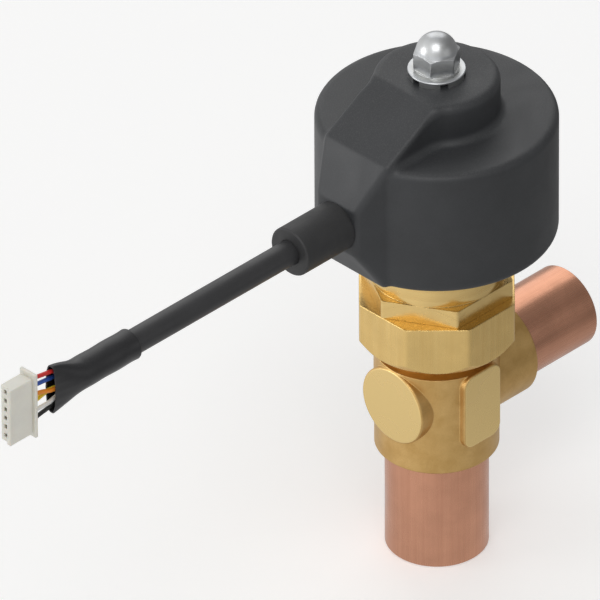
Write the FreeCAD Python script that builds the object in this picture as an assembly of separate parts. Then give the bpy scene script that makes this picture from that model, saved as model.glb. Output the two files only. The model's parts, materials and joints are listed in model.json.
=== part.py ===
import FreeCAD, Part
import math
import os

# Electronic expansion valve for a refrigeration line, in millimetres.
# +Z runs up the valve's axis, from the mouth of the lower pipe at z = 0.
# The side pipe points to +X, the motor lead to -X and the spanner pads to +Y and -Y.

# Copper stubs
lowerPipeOuterR = 12.7
lowerPipeSocketR = 11.15
lowerPipeBoreR = 10.6
lowerPipeSocketDepth = 16.0
lowerPipeVisible = 29.4
lowerPipeInsert = 5.0
sidePipeOuterR = 10.52
sidePipeSocketR = 9.55
sidePipeBoreR = 9.0
sidePipeSocketDepth = 14.0
sidePipeEndX = 45.1
sidePipeInsert = 8.0
brazeGap = 0.05
pipeLip = 0.3

# Brass body
bodyR = 15.24
bodyHeight = 27.7
bodyEdge = 0.35
neckR = 12.0
neckHeight = 10.6
neckBoreR = 9.7
neckStep = 1.6
chamberR = 11.0
webThickness = 1.6
webBoreR = 8.0
seatHeight = 2.2
seatFit = 0.05
seatBoreR = 7.0
seatBevel = 0.5
sideAxisZ = 46.8
sideStubR = 12.9
sideStubEndX = 22.2
sideBoreR = 8.4
stubEdge = 0.4
bossR = 10.2
bossFaceX = 15.5
bossEdge = 0.6
padWidth = 12.4
padHeight = 20.9
padCornerR = 3.0
padFaceY = 15.75
padEdge = 0.5
padTopZ = 57.2

# Octagonal bonnet
bonnetAcross = 37.7
bonnetBottomGap = 4.6
bonnetHeight = 12.8
bonnetCornerR = 1.8
bonnetChamferRise = 2.2
bonnetThreadR = 14.4
threadGap = 0.1

# Motor base with its hexagon and round collar
hexAcross = 33.0
hexHeight = 5.0
hexCornerR = 0.9
collarR = 16.4
collarHeight = 12.3
baseGasketThickness = 0.8
baseGasketInnerR = 10.2
guideTubeR = 9.6
guideTubeDrop = 12.0
pistonRoomHeight = 6.5
bushBoreR = 5.0
bushHeight = 4.0
bearingSeatDepth = 8.2
bearingReliefR = 6.8
bearingReliefDepth = 0.5
canSeatDepth = 3.4

# Ball bearing under the rotor
bearingOuterR = 9.5
bearingBoreR = 5.0
bearingWidth = 5.0
bearingRaceWall = 1.35
ballR = 1.2
ballCount = 9

# Piston and spindle
pistonR = 8.6
pistonSlide = 0.15
pistonLength = 24.0
pistonWall = 1.6
pistonWebZ = 12.0
pistonWebThickness = 4.0
pistonNoseR = 6.7
pistonNoseDrop = 3.2
pistonNoseTipR = 5.6
pistonBoreR = 5.0
pistonSeatR = 8.2
pistonVentR = 0.6
pistonVentAt = 4.3
sealGrooveDepth = 1.1
sealGrooveHeight = 2.0
sealGrooveBelowTop = 3.2
sealGap = 0.02
spindleR = 2.5
spindleFlat = 2.0
spindleFootR = 1.8
spindleFootLength = 8.0
spindleTopRise = 15.4
spindleTip = 0.6
spindleNutAcross = 7.0
spindleNutHeight = 3.2
spindleGap = 0.15

# Rotor
rotorJournalGap = 0.02
rotorHubR = 5.0
rotorBottomLift = 0.5
rotorShoulderR = 6.2
rotorShoulderHeight = 1.5
rotorNutRise = 5.4
rotorSpindleRoomR = 3.3
rotorHubRise = 27.4
rotorWebHoles = 6
rotorWebHeight = 3.0
magnetInnerR = 8.8
magnetOuterR = 12.0
magnetRise = 4.4
magnetHeight = 24.0
rotorFit = 0.02
rotorEndFloat = 0.3
rotorCapThickness = 1.6
rotorPinR = 2.0
rotorPinLength = 5.5
topBushGap = 0.15

# Rotor can
canOuterR = 13.0
canWall = 0.45
canRoofRise = 39.4
canRoofThickness = 1.2
canShoulderR = 2.0
studR = 3.0
studRise = 9.1

# Stator housing and lead-out block
housingR = 29.5
housingHeight = 33.8
housingWall = 2.5
housingEdgeR = 1.9
housingBoreR = 13.3
hubR = 15.4
hubHeight = 10.5
hubEdgeR = 1.9
blockHalfWidth = 10.8
blockBlendR = 9.6
blockRoofX = 11.1
blockShoulderX = 27.6
blockShoulderRise = 34.9
blockFrontRise = 10.4
blockFrontHeight = 12.7
blockFrontHalfWidth = 6.7
blockUndersideX = 28.2
blockEdgeR = 1.1
blockTaperR = 4.0
blockBlendSink = 0.1
blockWall = 2.0
boardRoomHalfWidth = 8.0
boardRoomDepth = 3.6
coverGasketThickness = 0.8
coverGasketWidth = 2.0

# Claw-pole stack
stackRise = 3.8
phaseHeight = 14.0
yokeSheet = 1.2
toothInnerR = 13.6
toothThickness = 1.0
toothCount = 12
toothBaseDeg = 18.0
toothTipDeg = 7.0
toothTipGap = 1.6
yokeFit = 0.05
bobbinFlangeGap = 0.6
bobbinFlange = 1.0
bobbinTubeWall = 1.0
coilBelowFlange = 0.8
coilGap = 0.1
tongueHalfWidth = 4.6
tongueThickness = 2.0
boardStandoff = 1.6

# Terminal board and its pins
boardThickness = 1.0
boardHalfWidth = 7.4
boardClearance = 0.4
boardPinR = 0.35
boardPinPitch = 2.5
boardPinRoot = 2.4
boardPinProud = 2.0
boardPinTipRoom = 0.8

# Lock washer and cap nut
washerR = 7.1
washerHeight = 1.7
washerBoreR = 3.15
washerNotches = 6
washerNotchWidth = 2.0
washerNotchDepth = 1.5
washerNotchHeight = 1.2
capAcross = 10.2
capFlangeR = 5.6
capFlangeHeight = 0.5
capHexHeight = 5.2
capCornerR = 0.35
capChamferDeg = 30
capDomeR = 5.15
capDomeRise = 11.3
capBoreR = 3.05

# Lead: collar, cable, sleeve, wires and plug
cableRise = 16.7
cableCollarR = 6.33
cableCollarLength = 15.9
cableCollarEdgeR = 0.5
cableCollarSpigotR = 4.4
cableR = 3.2
cableInCollar = 10.3
cableEndX = 109.2
cableFit = 0.05
sleeveR = 3.65
sleeveWall = 0.4
sleeveStartX = 104.2
sleeveRoundEndX = 122.5
sleeveMouthX = 130.8
sleeveMouthHeight = 13.2
sleeveMouthWidth = 3.0
wireR = 0.55
wireCount = 6
wireBundleR = 1.9
wireSpreadX = 121.0
wireMouthX = 130.0
wireRowX = 133.5
wireMouthPitch = 2.05
plugPitch = 2.5
plugFlangeStartX = 137.7
plugFlangeThickness = 0.9
plugFlangeHeight = 18.1
plugFlangeWidth = 5.3
plugHousingEndX = 146.3
plugHousingHeight = 15.9
plugHousingWidth = 3.9
plugCavity = 1.8
plugCavityShift = 0.3
plugGrooveWidth = 0.4
plugGrooveDepth = 0.4
plugWireHoleR = 0.7
contactWall = 0.25
contactBoxEndX = 141.0
contactBarrelR = 0.55
contactFit = 0.06
contactSetback = 0.6
plugWireStopX = 139.9

# Heights that follow from the sizes above
bodyBottomZ = lowerPipeVisible
bodyTopZ = bodyBottomZ + bodyHeight
pipeStopZ = bodyBottomZ + lowerPipeInsert
webTopZ = pipeStopZ + webThickness
seatTopZ = webTopZ + seatHeight
neckTopZ = bodyTopZ + neckHeight
bonnetBottomZ = bodyTopZ + bonnetBottomGap
bonnetTopZ = bonnetBottomZ + bonnetHeight
spigotBottomZ = neckTopZ + baseGasketThickness
hexTopZ = bonnetTopZ + hexHeight
collarTopZ = hexTopZ + collarHeight
housingBottomZ = collarTopZ + coverGasketThickness
housingTopZ = housingBottomZ + housingHeight
hubTopZ = housingTopZ + hubHeight
blockShoulderZ = housingBottomZ + blockShoulderRise
blockFrontBottomZ = housingBottomZ + blockFrontRise
blockFrontTopZ = blockFrontBottomZ + blockFrontHeight
cableZ = housingBottomZ + cableRise
bearingSeatFloor = collarTopZ - bearingSeatDepth
bushBottomZ = spigotBottomZ + pistonRoomHeight
bushTopZ = bushBottomZ + bushHeight
bearingTopZ = bearingSeatFloor + bearingWidth
rotorBottomZ = bearingSeatFloor + rotorBottomLift
rotorNutTop = housingBottomZ + rotorNutRise
rotorHubTop = housingBottomZ + rotorHubRise
magnetBottom = housingBottomZ + magnetRise
magnetTop = magnetBottom + magnetHeight
spindleTop = housingBottomZ + spindleTopRise
canRoofZ = housingBottomZ + canRoofRise
studTop = hubTopZ + studRise
capDomeTopZ = hubTopZ + capDomeRise
canBottomZ = collarTopZ - canSeatDepth
canInnerR = canOuterR - canWall
canTopZ = canRoofZ + canRoofThickness
stackBottomZ = housingBottomZ + stackRise
stackTopZ = stackBottomZ + 2 * phaseHeight
washerTopZ = hubTopZ + washerHeight

# Reaches that follow: the winding fills the housing, and the block closes over the terminal board
stackR = housingR - housingWall
bobbinFlangeR = stackR - yokeSheet - bobbinFlangeGap
coilR = bobbinFlangeR - coilBelowFlange
tongueReach = stackR + boardStandoff
boardPinStartX = tongueReach - boardPinRoot
boardPinEndX = tongueReach + boardThickness + boardPinProud
blockFrontX = boardPinEndX + boardPinTipRoom + blockWall
cableCollarEndX = blockFrontX + cableCollarLength
cableStartX = cableCollarEndX - cableInCollar
up = FreeCAD.Vector(0, 0, 1)
alongX = FreeCAD.Vector(1, 0, 0)
origin = FreeCAD.Vector(0, 0, 0)


def vec(x, y, z):
    return FreeCAD.Vector(x, y, z)


def disc(radius, low, high):
    return Part.makeCylinder(radius, high - low, vec(0, 0, low), up)


def ring(outer, inner, low, high):
    return disc(outer, low, high).cut(disc(inner, low, high))


def rodX(radius, start, end, y=0.0, z=0.0):
    return Part.makeCylinder(radius, end - start, vec(start, y, z), alongX)


def boxBetween(x0, x1, y0, y1, z0, z1):
    return Part.makeBox(x1 - x0, y1 - y0, z1 - z0, vec(x0, y0, z0))


def turned(points):
    """Solid of revolution about Z from (radius, height) points."""
    corners = [vec(r, 0, z) for r, z in points]
    face = Part.Face(Part.makePolygon(corners + corners[:1]))
    return face.revolve(origin, up, 360)


def prism(outline, low, high):
    face = Part.Face(outline)
    face.translate(vec(0, 0, low))
    return face.extrude(vec(0, 0, high - low))


def polygonPrism(sides, across, low, high, cornerAt, cornerR):
    """Regular prism with one corner at the angle cornerAt, its upright edges rounded."""
    reach = across / 2 / math.cos(math.pi / sides)
    corners = []
    for index in range(sides + 1):
        angle = math.radians(cornerAt + 360.0 * index / sides)
        corners.append(vec(reach * math.cos(angle), reach * math.sin(angle), 0))
    solid = prism(Part.makePolygon(corners), low, high)
    if cornerR > 0:
        solid = solid.makeFillet(cornerR, uprightEdges(solid))
    return solid


def uprightEdges(solid):
    edges = []
    for edge in solid.Edges:
        first, last = edge.Vertexes[0].Point, edge.Vertexes[-1].Point
        if abs(first.x - last.x) + abs(first.y - last.y) < 1e-6 and abs(first.z - last.z) > 1e-6:
            edges.append(edge)
    return edges


def edgesAt(solid, low, high):
    """Edges that lie wholly between two heights."""
    return [e for e in solid.Edges if e.BoundBox.ZMin > low and e.BoundBox.ZMax < high]


def spun(solid, degrees):
    copy = solid.copy()
    copy.rotate(origin, up, degrees)
    return copy


def save(name, shape):
    shape.exportStep("parts/" + name + ".step")
    print(name, len(shape.Solids), "solids", round(shape.Volume, 1), "mm3", shape.isValid())


# Copper stubs, each with its solder socket for the line's own pipe
def pipeStub(outerR, socketR, boreR, socketDepth, length):
    return turned([
        (socketR, 0), (outerR - pipeLip, 0), (outerR, pipeLip), (outerR, length),
        (boreR, length), (boreR, socketDepth + (socketR - boreR)), (socketR, socketDepth),
    ])


def makeLowerPipe():
    return pipeStub(lowerPipeOuterR, lowerPipeSocketR, lowerPipeBoreR,
                    lowerPipeSocketDepth, pipeStopZ)


def makeSidePipe():
    length = sidePipeEndX - (sideStubEndX - sidePipeInsert)
    stub = pipeStub(sidePipeOuterR, sidePipeSocketR, sidePipeBoreR, sidePipeSocketDepth, length)
    stub.rotate(origin, vec(0, 1, 0), -90)
    stub.translate(vec(sidePipeEndX, 0, sideAxisZ))
    return stub


# Forged brass body with its ports, blind round boss and spanner pads
def roundedPad():
    half = padWidth / 2
    corners = [vec(-half, 0, 0), vec(half, 0, 0), vec(half, 0, padHeight), vec(-half, 0, padHeight)]
    face = Part.Face(Part.makePolygon(corners + corners[:1]))
    pad = face.extrude(vec(0, -padFaceY, 0))
    alongY = [e for e in pad.Edges if abs(e.BoundBox.YLength - padFaceY) < 1e-6]
    pad = pad.makeFillet(padCornerR, alongY)
    front = [e for e in pad.Edges if e.BoundBox.YMax < -padFaceY + 1e-6]
    pad = pad.makeFillet(padEdge, front)
    pad.translate(vec(0, 0, padTopZ - padHeight))
    return pad


def makeBody():
    barrel = turned([
        (0, bodyBottomZ), (bodyR - bodyEdge, bodyBottomZ), (bodyR, bodyBottomZ + bodyEdge),
        (bodyR, bodyTopZ), (neckR, bodyTopZ), (neckR, neckTopZ), (0, neckTopZ),
    ])
    stub = rodX(sideStubR, 0, sideStubEndX, 0, sideAxisZ)
    stub = stub.makeChamfer(stubEdge, [e for e in stub.Edges if e.BoundBox.XMin > sideStubEndX - 1e-6])
    boss = rodX(bossR, -bossFaceX, 0, 0, sideAxisZ)
    boss = boss.makeFillet(bossEdge, [e for e in boss.Edges if e.BoundBox.XMax < -bossFaceX + 1e-6])
    pad = roundedPad()
    body = barrel.fuse([stub, boss, pad, spun(pad, 180)]).removeSplitter()
    body = body.cut(disc(lowerPipeOuterR + brazeGap, bodyBottomZ, pipeStopZ))
    body = body.cut(disc(webBoreR, pipeStopZ, webTopZ))
    body = body.cut(disc(chamberR, webTopZ, bodyTopZ - neckStep))
    body = body.cut(disc(neckBoreR, bodyTopZ - neckStep, neckTopZ))
    body = body.cut(rodX(sideBoreR, 0, sideStubEndX, 0, sideAxisZ))
    pocketStart = sideStubEndX - sidePipeInsert
    body = body.cut(rodX(sidePipeOuterR + brazeGap, pocketStart, sideStubEndX, 0, sideAxisZ))
    return body


def makeValveSeat():
    return turned([
        (seatBoreR + seatBevel, seatTopZ), (seatBoreR, seatTopZ - seatBevel), (seatBoreR, webTopZ),
        (chamberR - seatFit, webTopZ), (chamberR - seatFit, seatTopZ),
    ])


# Octagonal bonnet that screws on the neck and takes the motor base
def makeBonnet():
    blank = polygonPrism(8, bonnetAcross, bonnetBottomZ, bonnetTopZ, 180 / 8, bonnetCornerR)
    flatR = bonnetAcross / 2
    reach = flatR / math.cos(math.pi / 8)
    cone = turned([
        (0, bonnetBottomZ), (flatR, bonnetBottomZ), (reach, bonnetBottomZ + bonnetChamferRise),
        (reach, bonnetTopZ), (0, bonnetTopZ),
    ])
    blank = blank.common(cone)
    blank = blank.cut(disc(neckR + threadGap, bonnetBottomZ, neckTopZ))
    return blank.cut(disc(bonnetThreadR + threadGap, neckTopZ, bonnetTopZ))


def makeBaseGasket():
    return ring(neckR, baseGasketInnerR, neckTopZ, spigotBottomZ)


# Motor base: threaded spigot, piston guide, spanner hexagon and round collar
def makeMotorBase():
    spigot = disc(bonnetThreadR, spigotBottomZ, bonnetTopZ)
    tube = disc(guideTubeR, spigotBottomZ - guideTubeDrop, spigotBottomZ)
    hexagon = polygonPrism(6, hexAcross, bonnetTopZ, hexTopZ, 0, hexCornerR)
    collar = disc(collarR, hexTopZ, collarTopZ)
    base = spigot.fuse([tube, hexagon, collar]).removeSplitter()
    base = base.cut(disc(pistonR + pistonSlide, spigotBottomZ - guideTubeDrop, bushBottomZ))
    base = base.cut(disc(bushBoreR, bushBottomZ, bearingSeatFloor))
    base = base.cut(disc(bearingOuterR, bearingSeatFloor, collarTopZ))
    base = base.cut(disc(bearingReliefR, bearingSeatFloor - bearingReliefDepth, bearingSeatFloor))
    return base.cut(disc(canOuterR + yokeFit, canBottomZ, collarTopZ))


def spindleProfile(radius, flat, low, high):
    return disc(radius, low, high).common(boxBetween(-radius, radius, -flat, flat, low, high))


def makeGuideBush():
    bush = disc(bushBoreR, bushBottomZ, bushTopZ)
    hole = spindleProfile(spindleR + spindleGap, spindleFlat + spindleGap, bushBottomZ, bushTopZ)
    return bush.cut(hole)


def makeStatorGasket():
    return ring(collarR, collarR - coverGasketWidth, collarTopZ, housingBottomZ)


# Ball bearing that carries the rotor
def bearingTrack():
    trackR = (bearingOuterR + bearingBoreR) / 2
    return Part.makeTorus(trackR, ballR, vec(0, 0, bearingSeatFloor + bearingWidth / 2), up)


def makeBearingOuter():
    race = ring(bearingOuterR, bearingOuterR - bearingRaceWall, bearingSeatFloor, bearingTopZ)
    return race.cut(bearingTrack())


def makeBearingInner():
    race = ring(bearingBoreR + bearingRaceWall, bearingBoreR, bearingSeatFloor, bearingTopZ)
    return race.cut(bearingTrack())


def makeBearingBalls():
    trackR = (bearingOuterR + bearingBoreR) / 2
    balls = []
    for index in range(ballCount):
        angle = 2 * math.pi * index / ballCount
        centre = vec(trackR * math.cos(angle), trackR * math.sin(angle), bearingSeatFloor + bearingWidth / 2)
        balls.append(Part.makeSphere(ballR - rotorJournalGap, centre))
    return Part.makeCompound(balls)


# Piston that rises off the seat, and the spindle that pulls it
def makePiston():
    low = seatTopZ
    high = low + pistonLength
    webLow = low + pistonWebZ
    webHigh = webLow + pistonWebThickness
    noseTip = low - pistonNoseDrop
    grooveHigh = high - sealGrooveBelowTop
    grooveLow = grooveHigh - sealGrooveHeight
    grooveR = pistonR - sealGrooveDepth
    cup = turned([
        (0, noseTip), (pistonNoseTipR, noseTip), (pistonNoseR, low), (pistonSeatR, low),
        (pistonR, low + (pistonR - pistonSeatR)), (pistonR, grooveLow), (grooveR, grooveLow),
        (grooveR, grooveHigh), (pistonR, grooveHigh), (pistonR, high), (0, high),
    ])
    cup = cup.cut(disc(pistonR - sealGrooveDepth - pistonWall, webHigh, high))
    cup = cup.cut(disc(pistonBoreR, noseTip, webLow))
    cup = cup.cut(disc(spindleFootR, webLow, webHigh))
    vents = []
    for index in range(3):
        angle = math.radians(30 + 120 * index)
        foot = vec(pistonVentAt * math.cos(angle), pistonVentAt * math.sin(angle), webLow)
        vents.append(Part.makeCylinder(pistonVentR, pistonWebThickness, foot, up))
    return cup.cut(Part.makeCompound(vents))


def makePistonSeal():
    high = seatTopZ + pistonLength - sealGrooveBelowTop
    inner = pistonR - sealGrooveDepth
    return ring(pistonR + pistonSlide - sealGap, inner, high - sealGrooveHeight, high)


def makeSpindle():
    webLow = seatTopZ + pistonWebZ
    webHigh = webLow + pistonWebThickness
    foot = disc(spindleFootR, webHigh - spindleFootLength, webHigh)
    round = disc(spindleR, webHigh, spindleTop)
    round = round.makeChamfer(spindleTip, edgesAt(round, spindleTop - spindleTip, spindleTop + spindleTip))
    shank = round.common(boxBetween(-spindleR, spindleR, -spindleFlat, spindleFlat, webHigh, spindleTop))
    return foot.fuse(shank).removeSplitter()


def makeSpindleNut():
    webLow = seatTopZ + pistonWebZ
    nut = polygonPrism(6, spindleNutAcross, webLow - spindleNutHeight, webLow, 0, 0)
    return nut.cut(disc(spindleFootR, webLow - spindleNutHeight, webLow))


# Rotor: hub with the driving nut in it, magnet ring and top cap with its pin
def makeRotorHub():
    threadR = spindleR + spindleGap
    journalR = bearingBoreR - rotorJournalGap
    shoulderTopZ = bearingTopZ + rotorShoulderHeight
    hub = turned([
        (threadR, rotorBottomZ), (journalR, rotorBottomZ), (journalR, bearingTopZ),
        (rotorShoulderR, bearingTopZ), (rotorShoulderR, shoulderTopZ), (rotorHubR, shoulderTopZ),
        (rotorHubR, rotorHubTop), (rotorSpindleRoomR, rotorHubTop), (rotorSpindleRoomR, rotorNutTop),
        (threadR, rotorNutTop),
    ])
    webInnerR = (rotorHubR + rotorSpindleRoomR) / 2
    web = ring(magnetInnerR - rotorFit, webInnerR, magnetBottom + rotorFit, magnetBottom + rotorWebHeight)
    holeR = (magnetInnerR - rotorHubR) / 3
    holeAt = (magnetInnerR + rotorHubR) / 2
    holes = []
    for index in range(rotorWebHoles):
        angle = 2 * math.pi * index / rotorWebHoles
        foot = vec(holeAt * math.cos(angle), holeAt * math.sin(angle), magnetBottom)
        holes.append(Part.makeCylinder(holeR, rotorWebHeight, foot, up))
    return hub.fuse(web.cut(Part.makeCompound(holes))).removeSplitter()


def makeRotorMagnet():
    return ring(magnetOuterR, magnetInnerR, magnetBottom, magnetTop)


def makeRotorCap():
    plateTopZ = rotorHubTop + rotorCapThickness
    plate = disc(magnetInnerR - rotorFit, rotorHubTop, plateTopZ)
    pin = disc(rotorPinR, plateTopZ, plateTopZ + rotorPinLength)
    return plate.fuse(pin).removeSplitter()


def makeTopBush():
    plateTopZ = rotorHubTop + rotorCapThickness
    return ring(canInnerR, rotorPinR + topBushGap, plateTopZ + rotorEndFloat, plateTopZ + rotorPinLength)


def makeRotorCan():
    outside = disc(canOuterR, canBottomZ, canTopZ)
    outside = outside.makeFillet(canShoulderR, edgesAt(outside, canTopZ - 0.1, canTopZ + 0.1))
    inside = disc(canInnerR, canBottomZ, canRoofZ)
    inside = inside.makeFillet(canShoulderR - canWall, edgesAt(inside, canRoofZ - 0.1, canRoofZ + 0.1))
    stud = disc(studR, canTopZ, studTop)
    stud = stud.makeChamfer(studR / 5, edgesAt(stud, studTop - 0.1, studTop + 0.1))
    return outside.cut(inside).fuse(stud).removeSplitter()


# Moulded stator housing: drum, hub and lead-out block
def roundedRun(points, radii):
    """Edges along a chain of points whose inner corners are tangent arcs; radius 0 stays sharp."""
    edges = []
    start = points[0]
    for before, corner, after, radius in zip(points, points[1:], points[2:], radii):
        enter = leave = corner
        if radius > 0:
            back = (before - corner).normalize()
            ahead = (after - corner).normalize()
            half = back.getAngle(ahead) / 2
            trim = radius / math.tan(half)
            middle = corner + (back + ahead).normalize() * (radius / math.sin(half) - radius)
            enter = corner + back * trim
            leave = corner + ahead * trim
        edges.append(Part.makeLine(start, enter))
        if radius > 0:
            edges.append(Part.Arc(enter, middle, leave).toShape())
        start = leave
    edges.append(Part.makeLine(start, points[-1]))
    return edges


def blockSlab():
    """The block's side view, drawn through more than its full width."""
    halfWidth = hubR + 1
    points = [
        (0, housingBottomZ), (0, hubTopZ), (-blockRoofX, hubTopZ), (-blockShoulderX, blockShoulderZ),
        (-blockFrontX, blockFrontTopZ), (-blockFrontX, blockFrontBottomZ),
        (-blockUndersideX, housingBottomZ), (0, housingBottomZ),
    ]
    radii = [0, 3 * blockEdgeR, blockEdgeR, blockEdgeR, blockEdgeR, blockEdgeR]
    edges = roundedRun([vec(x, -halfWidth, z) for x, z in points], radii)
    return Part.Face(Part.Wire(edges)).extrude(vec(0, 2 * halfWidth, 0))


def blockPlan():
    """The block from above: concave blends to the hub, straight walls and a tapered front."""
    centreY = blockHalfWidth + blockBlendR
    nearHubR = hubR - blockBlendSink
    centreX = -math.sqrt((nearHubR + blockBlendR) ** 2 - centreY ** 2)
    centre = vec(centreX, centreY, 0)
    onHub = centre * (nearHubR / (nearHubR + blockBlendR))
    onWall = vec(centreX, blockHalfWidth, 0)
    towards = (onHub - centre).normalize() + vec(0, -1, 0)
    middle = centre + towards.normalize() * blockBlendR
    corners = [
        onWall, vec(-blockShoulderX, blockHalfWidth, 0), vec(-blockFrontX, blockFrontHalfWidth, 0),
        vec(-blockFrontX, -blockFrontHalfWidth, 0), vec(-blockShoulderX, -blockHalfWidth, 0),
        vec(onWall.x, -blockHalfWidth, 0),
    ]
    edges = [Part.Arc(onHub, middle, onWall).toShape()]
    edges += roundedRun(corners, [blockTaperR, blockEdgeR, blockEdgeR, blockTaperR])
    edges.append(Part.Arc(corners[-1], vec(middle.x, -middle.y, 0), vec(onHub.x, -onHub.y, 0)).toShape())
    edges.append(Part.makeLine(vec(onHub.x, -onHub.y, 0), onHub))
    return Part.Wire(edges)


def leadBlock():
    plan = blockPlan()
    block = blockSlab().common(prism(plan, housingBottomZ, hubTopZ)).removeSplitter()
    rootX = plan.BoundBox.XMax
    crease = []
    for edge in block.Edges:
        box = edge.BoundBox
        upright = box.XLength < 0.01 and box.YLength < 0.01
        across = box.XLength < 0.01 and box.ZLength < 0.01
        if box.XMin < rootX - 0.01 and box.ZMax > housingBottomZ + 0.01 and not upright and not across:
            crease.append(edge)
    return block.makeFillet(blockEdgeR, crease)


def makeStatorHousing():
    drum = disc(housingR, housingBottomZ, housingTopZ)
    drum = drum.makeFillet(housingEdgeR, edgesAt(drum, housingBottomZ - 1, housingBottomZ + 0.1)
                           + edgesAt(drum, housingTopZ - 0.1, housingTopZ + 1))
    hub = disc(hubR, housingTopZ - housingEdgeR, hubTopZ)
    hub = hub.makeFillet(hubEdgeR, edgesAt(hub, hubTopZ - 0.1, hubTopZ + 1))
    flare = turned([(0, housingTopZ), (hubR + hubEdgeR, housingTopZ), (hubR, housingTopZ + hubEdgeR),
                    (0, housingTopZ + hubEdgeR)])
    hollow = Part.makeTorus(hubR + hubEdgeR, hubEdgeR, vec(0, 0, housingTopZ + hubEdgeR), up)
    flare = flare.cut(hollow)
    housing = drum.fuse([hub, flare]).removeSplitter().fuse(leadBlock()).removeSplitter()
    housing = housing.cut(disc(housingBoreR, housingBottomZ, canTopZ + yokeFit))
    housing = housing.cut(disc(studR + spindleGap, canTopZ, hubTopZ))
    housing = housing.cut(disc(stackR + yokeFit, stackBottomZ, stackTopZ))
    room = boxBetween(-blockFrontX + blockWall, -stackR + boardRoomDepth, -boardRoomHalfWidth,
                      boardRoomHalfWidth, blockFrontBottomZ, blockFrontTopZ)
    inset = polygonRoom()
    housing = housing.cut(room.common(inset))
    hole = rodX(cableCollarSpigotR + cableFit, -blockFrontX, -blockFrontX + blockWall, 0, cableZ)
    return housing.cut(hole)


def polygonRoom():
    """Room inside the block, tapered like its side walls."""
    inner = blockFrontHalfWidth - blockWall
    corners = [
        vec(0, -boardRoomHalfWidth, 0), vec(-blockShoulderX - blockWall, -boardRoomHalfWidth, 0),
        vec(-blockFrontX + blockWall, -inner, 0), vec(-blockFrontX + blockWall, inner, 0),
        vec(-blockShoulderX - blockWall, boardRoomHalfWidth, 0), vec(0, boardRoomHalfWidth, 0),
    ]
    return prism(Part.makePolygon(corners + corners[:1]), blockFrontBottomZ, blockFrontTopZ)


# Claw-pole yokes: a cup and a plate for each phase, with teeth that mesh round the bore.
# Each phase is drawn as the lower one, and the upper one is its mirror image.
def tooth(rootZ, tipZ):
    rootHalf = math.radians(toothBaseDeg / 2) * toothInnerR
    tipHalf = math.radians(toothTipDeg / 2) * toothInnerR
    corners = [vec(0, -rootHalf, rootZ), vec(0, rootHalf, rootZ), vec(0, tipHalf, tipZ), vec(0, -tipHalf, tipZ)]
    wedge = Part.Face(Part.makePolygon(corners + corners[:1])).extrude(vec(stackR, 0, 0))
    low, high = min(rootZ, tipZ), max(rootZ, tipZ)
    return wedge.common(ring(toothInnerR + toothThickness, toothInnerR, low, high))


def toothRing(rootZ, tipZ, startDeg):
    first = tooth(rootZ, tipZ)
    return [spun(first, startDeg + 360.0 * index / toothCount) for index in range(toothCount)]


def terminalWindow():
    """Opening in a cup's wall that the bobbin's terminal tongue passes through."""
    top = stackBottomZ + phaseHeight
    low = top - yokeSheet - tongueThickness - yokeFit
    half = tongueHalfWidth + yokeFit
    return boxBetween(-stackR - yokeSheet, -stackR + 2 * yokeSheet, -half, half, low, top)


def yokeCup(startDeg):
    low = stackBottomZ
    high = low + phaseHeight
    plate = ring(stackR, toothInnerR, low, low + yokeSheet)
    wall = ring(stackR, stackR - yokeSheet, low, high)
    teeth = toothRing(low + yokeSheet / 2, high - yokeSheet - toothTipGap, startDeg)
    cup = plate.fuse([wall] + teeth).removeSplitter()
    return cup.cut(terminalWindow())


def yokePlate(startDeg):
    high = stackBottomZ + phaseHeight
    plate = ring(stackR - yokeSheet - yokeFit, toothInnerR, high - yokeSheet, high)
    teeth = toothRing(high - yokeSheet / 2, stackBottomZ + yokeSheet + toothTipGap, startDeg)
    return plate.fuse(teeth).removeSplitter()


def bobbin():
    low = stackBottomZ + yokeSheet
    high = stackBottomZ + phaseHeight - yokeSheet
    tubeInnerR = toothInnerR + toothThickness + yokeFit
    tube = ring(tubeInnerR + bobbinTubeWall, tubeInnerR, low, high)
    floor = ring(bobbinFlangeR, tubeInnerR, low, low + bobbinFlange)
    roof = ring(bobbinFlangeR, tubeInnerR, high - bobbinFlange, high)
    rootX = -(coilR + coilGap)
    tongue = boxBetween(-tongueReach, rootX, -tongueHalfWidth, tongueHalfWidth, high - tongueThickness, high)
    spool = tube.fuse([floor, roof, tongue]).removeSplitter()
    return spool.cut(Part.makeCompound(pinRow(boardPinR + yokeFit)))


def coil():
    low = stackBottomZ + yokeSheet + bobbinFlange
    high = stackBottomZ + phaseHeight - yokeSheet - bobbinFlange
    tubeOuterR = toothInnerR + toothThickness + yokeFit + bobbinTubeWall
    return ring(coilR, tubeOuterR, low, high)


def pinRow(radius):
    """Three terminal pins side by side in a bobbin's tongue."""
    z = stackBottomZ + phaseHeight - yokeSheet - tongueThickness / 2
    return [rodX(radius, -boardPinEndX, -boardPinStartX, boardPinPitch * step, z) for step in (-1, 0, 1)]


def mirrored(shape):
    return shape.mirror(vec(0, 0, stackBottomZ + phaseHeight), up)


def makeTerminalPins():
    lower = Part.makeCompound(pinRow(boardPinR))
    return Part.makeCompound(lower.Solids + mirrored(lower).Solids)


def makeTerminalBoard():
    low = blockFrontBottomZ + boardClearance
    high = blockFrontTopZ - boardClearance
    farX = -tongueReach - boardThickness
    board = boxBetween(farX, -tongueReach, -boardHalfWidth, boardHalfWidth, low, high)
    holes = Part.makeCompound(pinRow(boardPinR + yokeFit))
    return board.cut(holes).cut(mirrored(holes))


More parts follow.
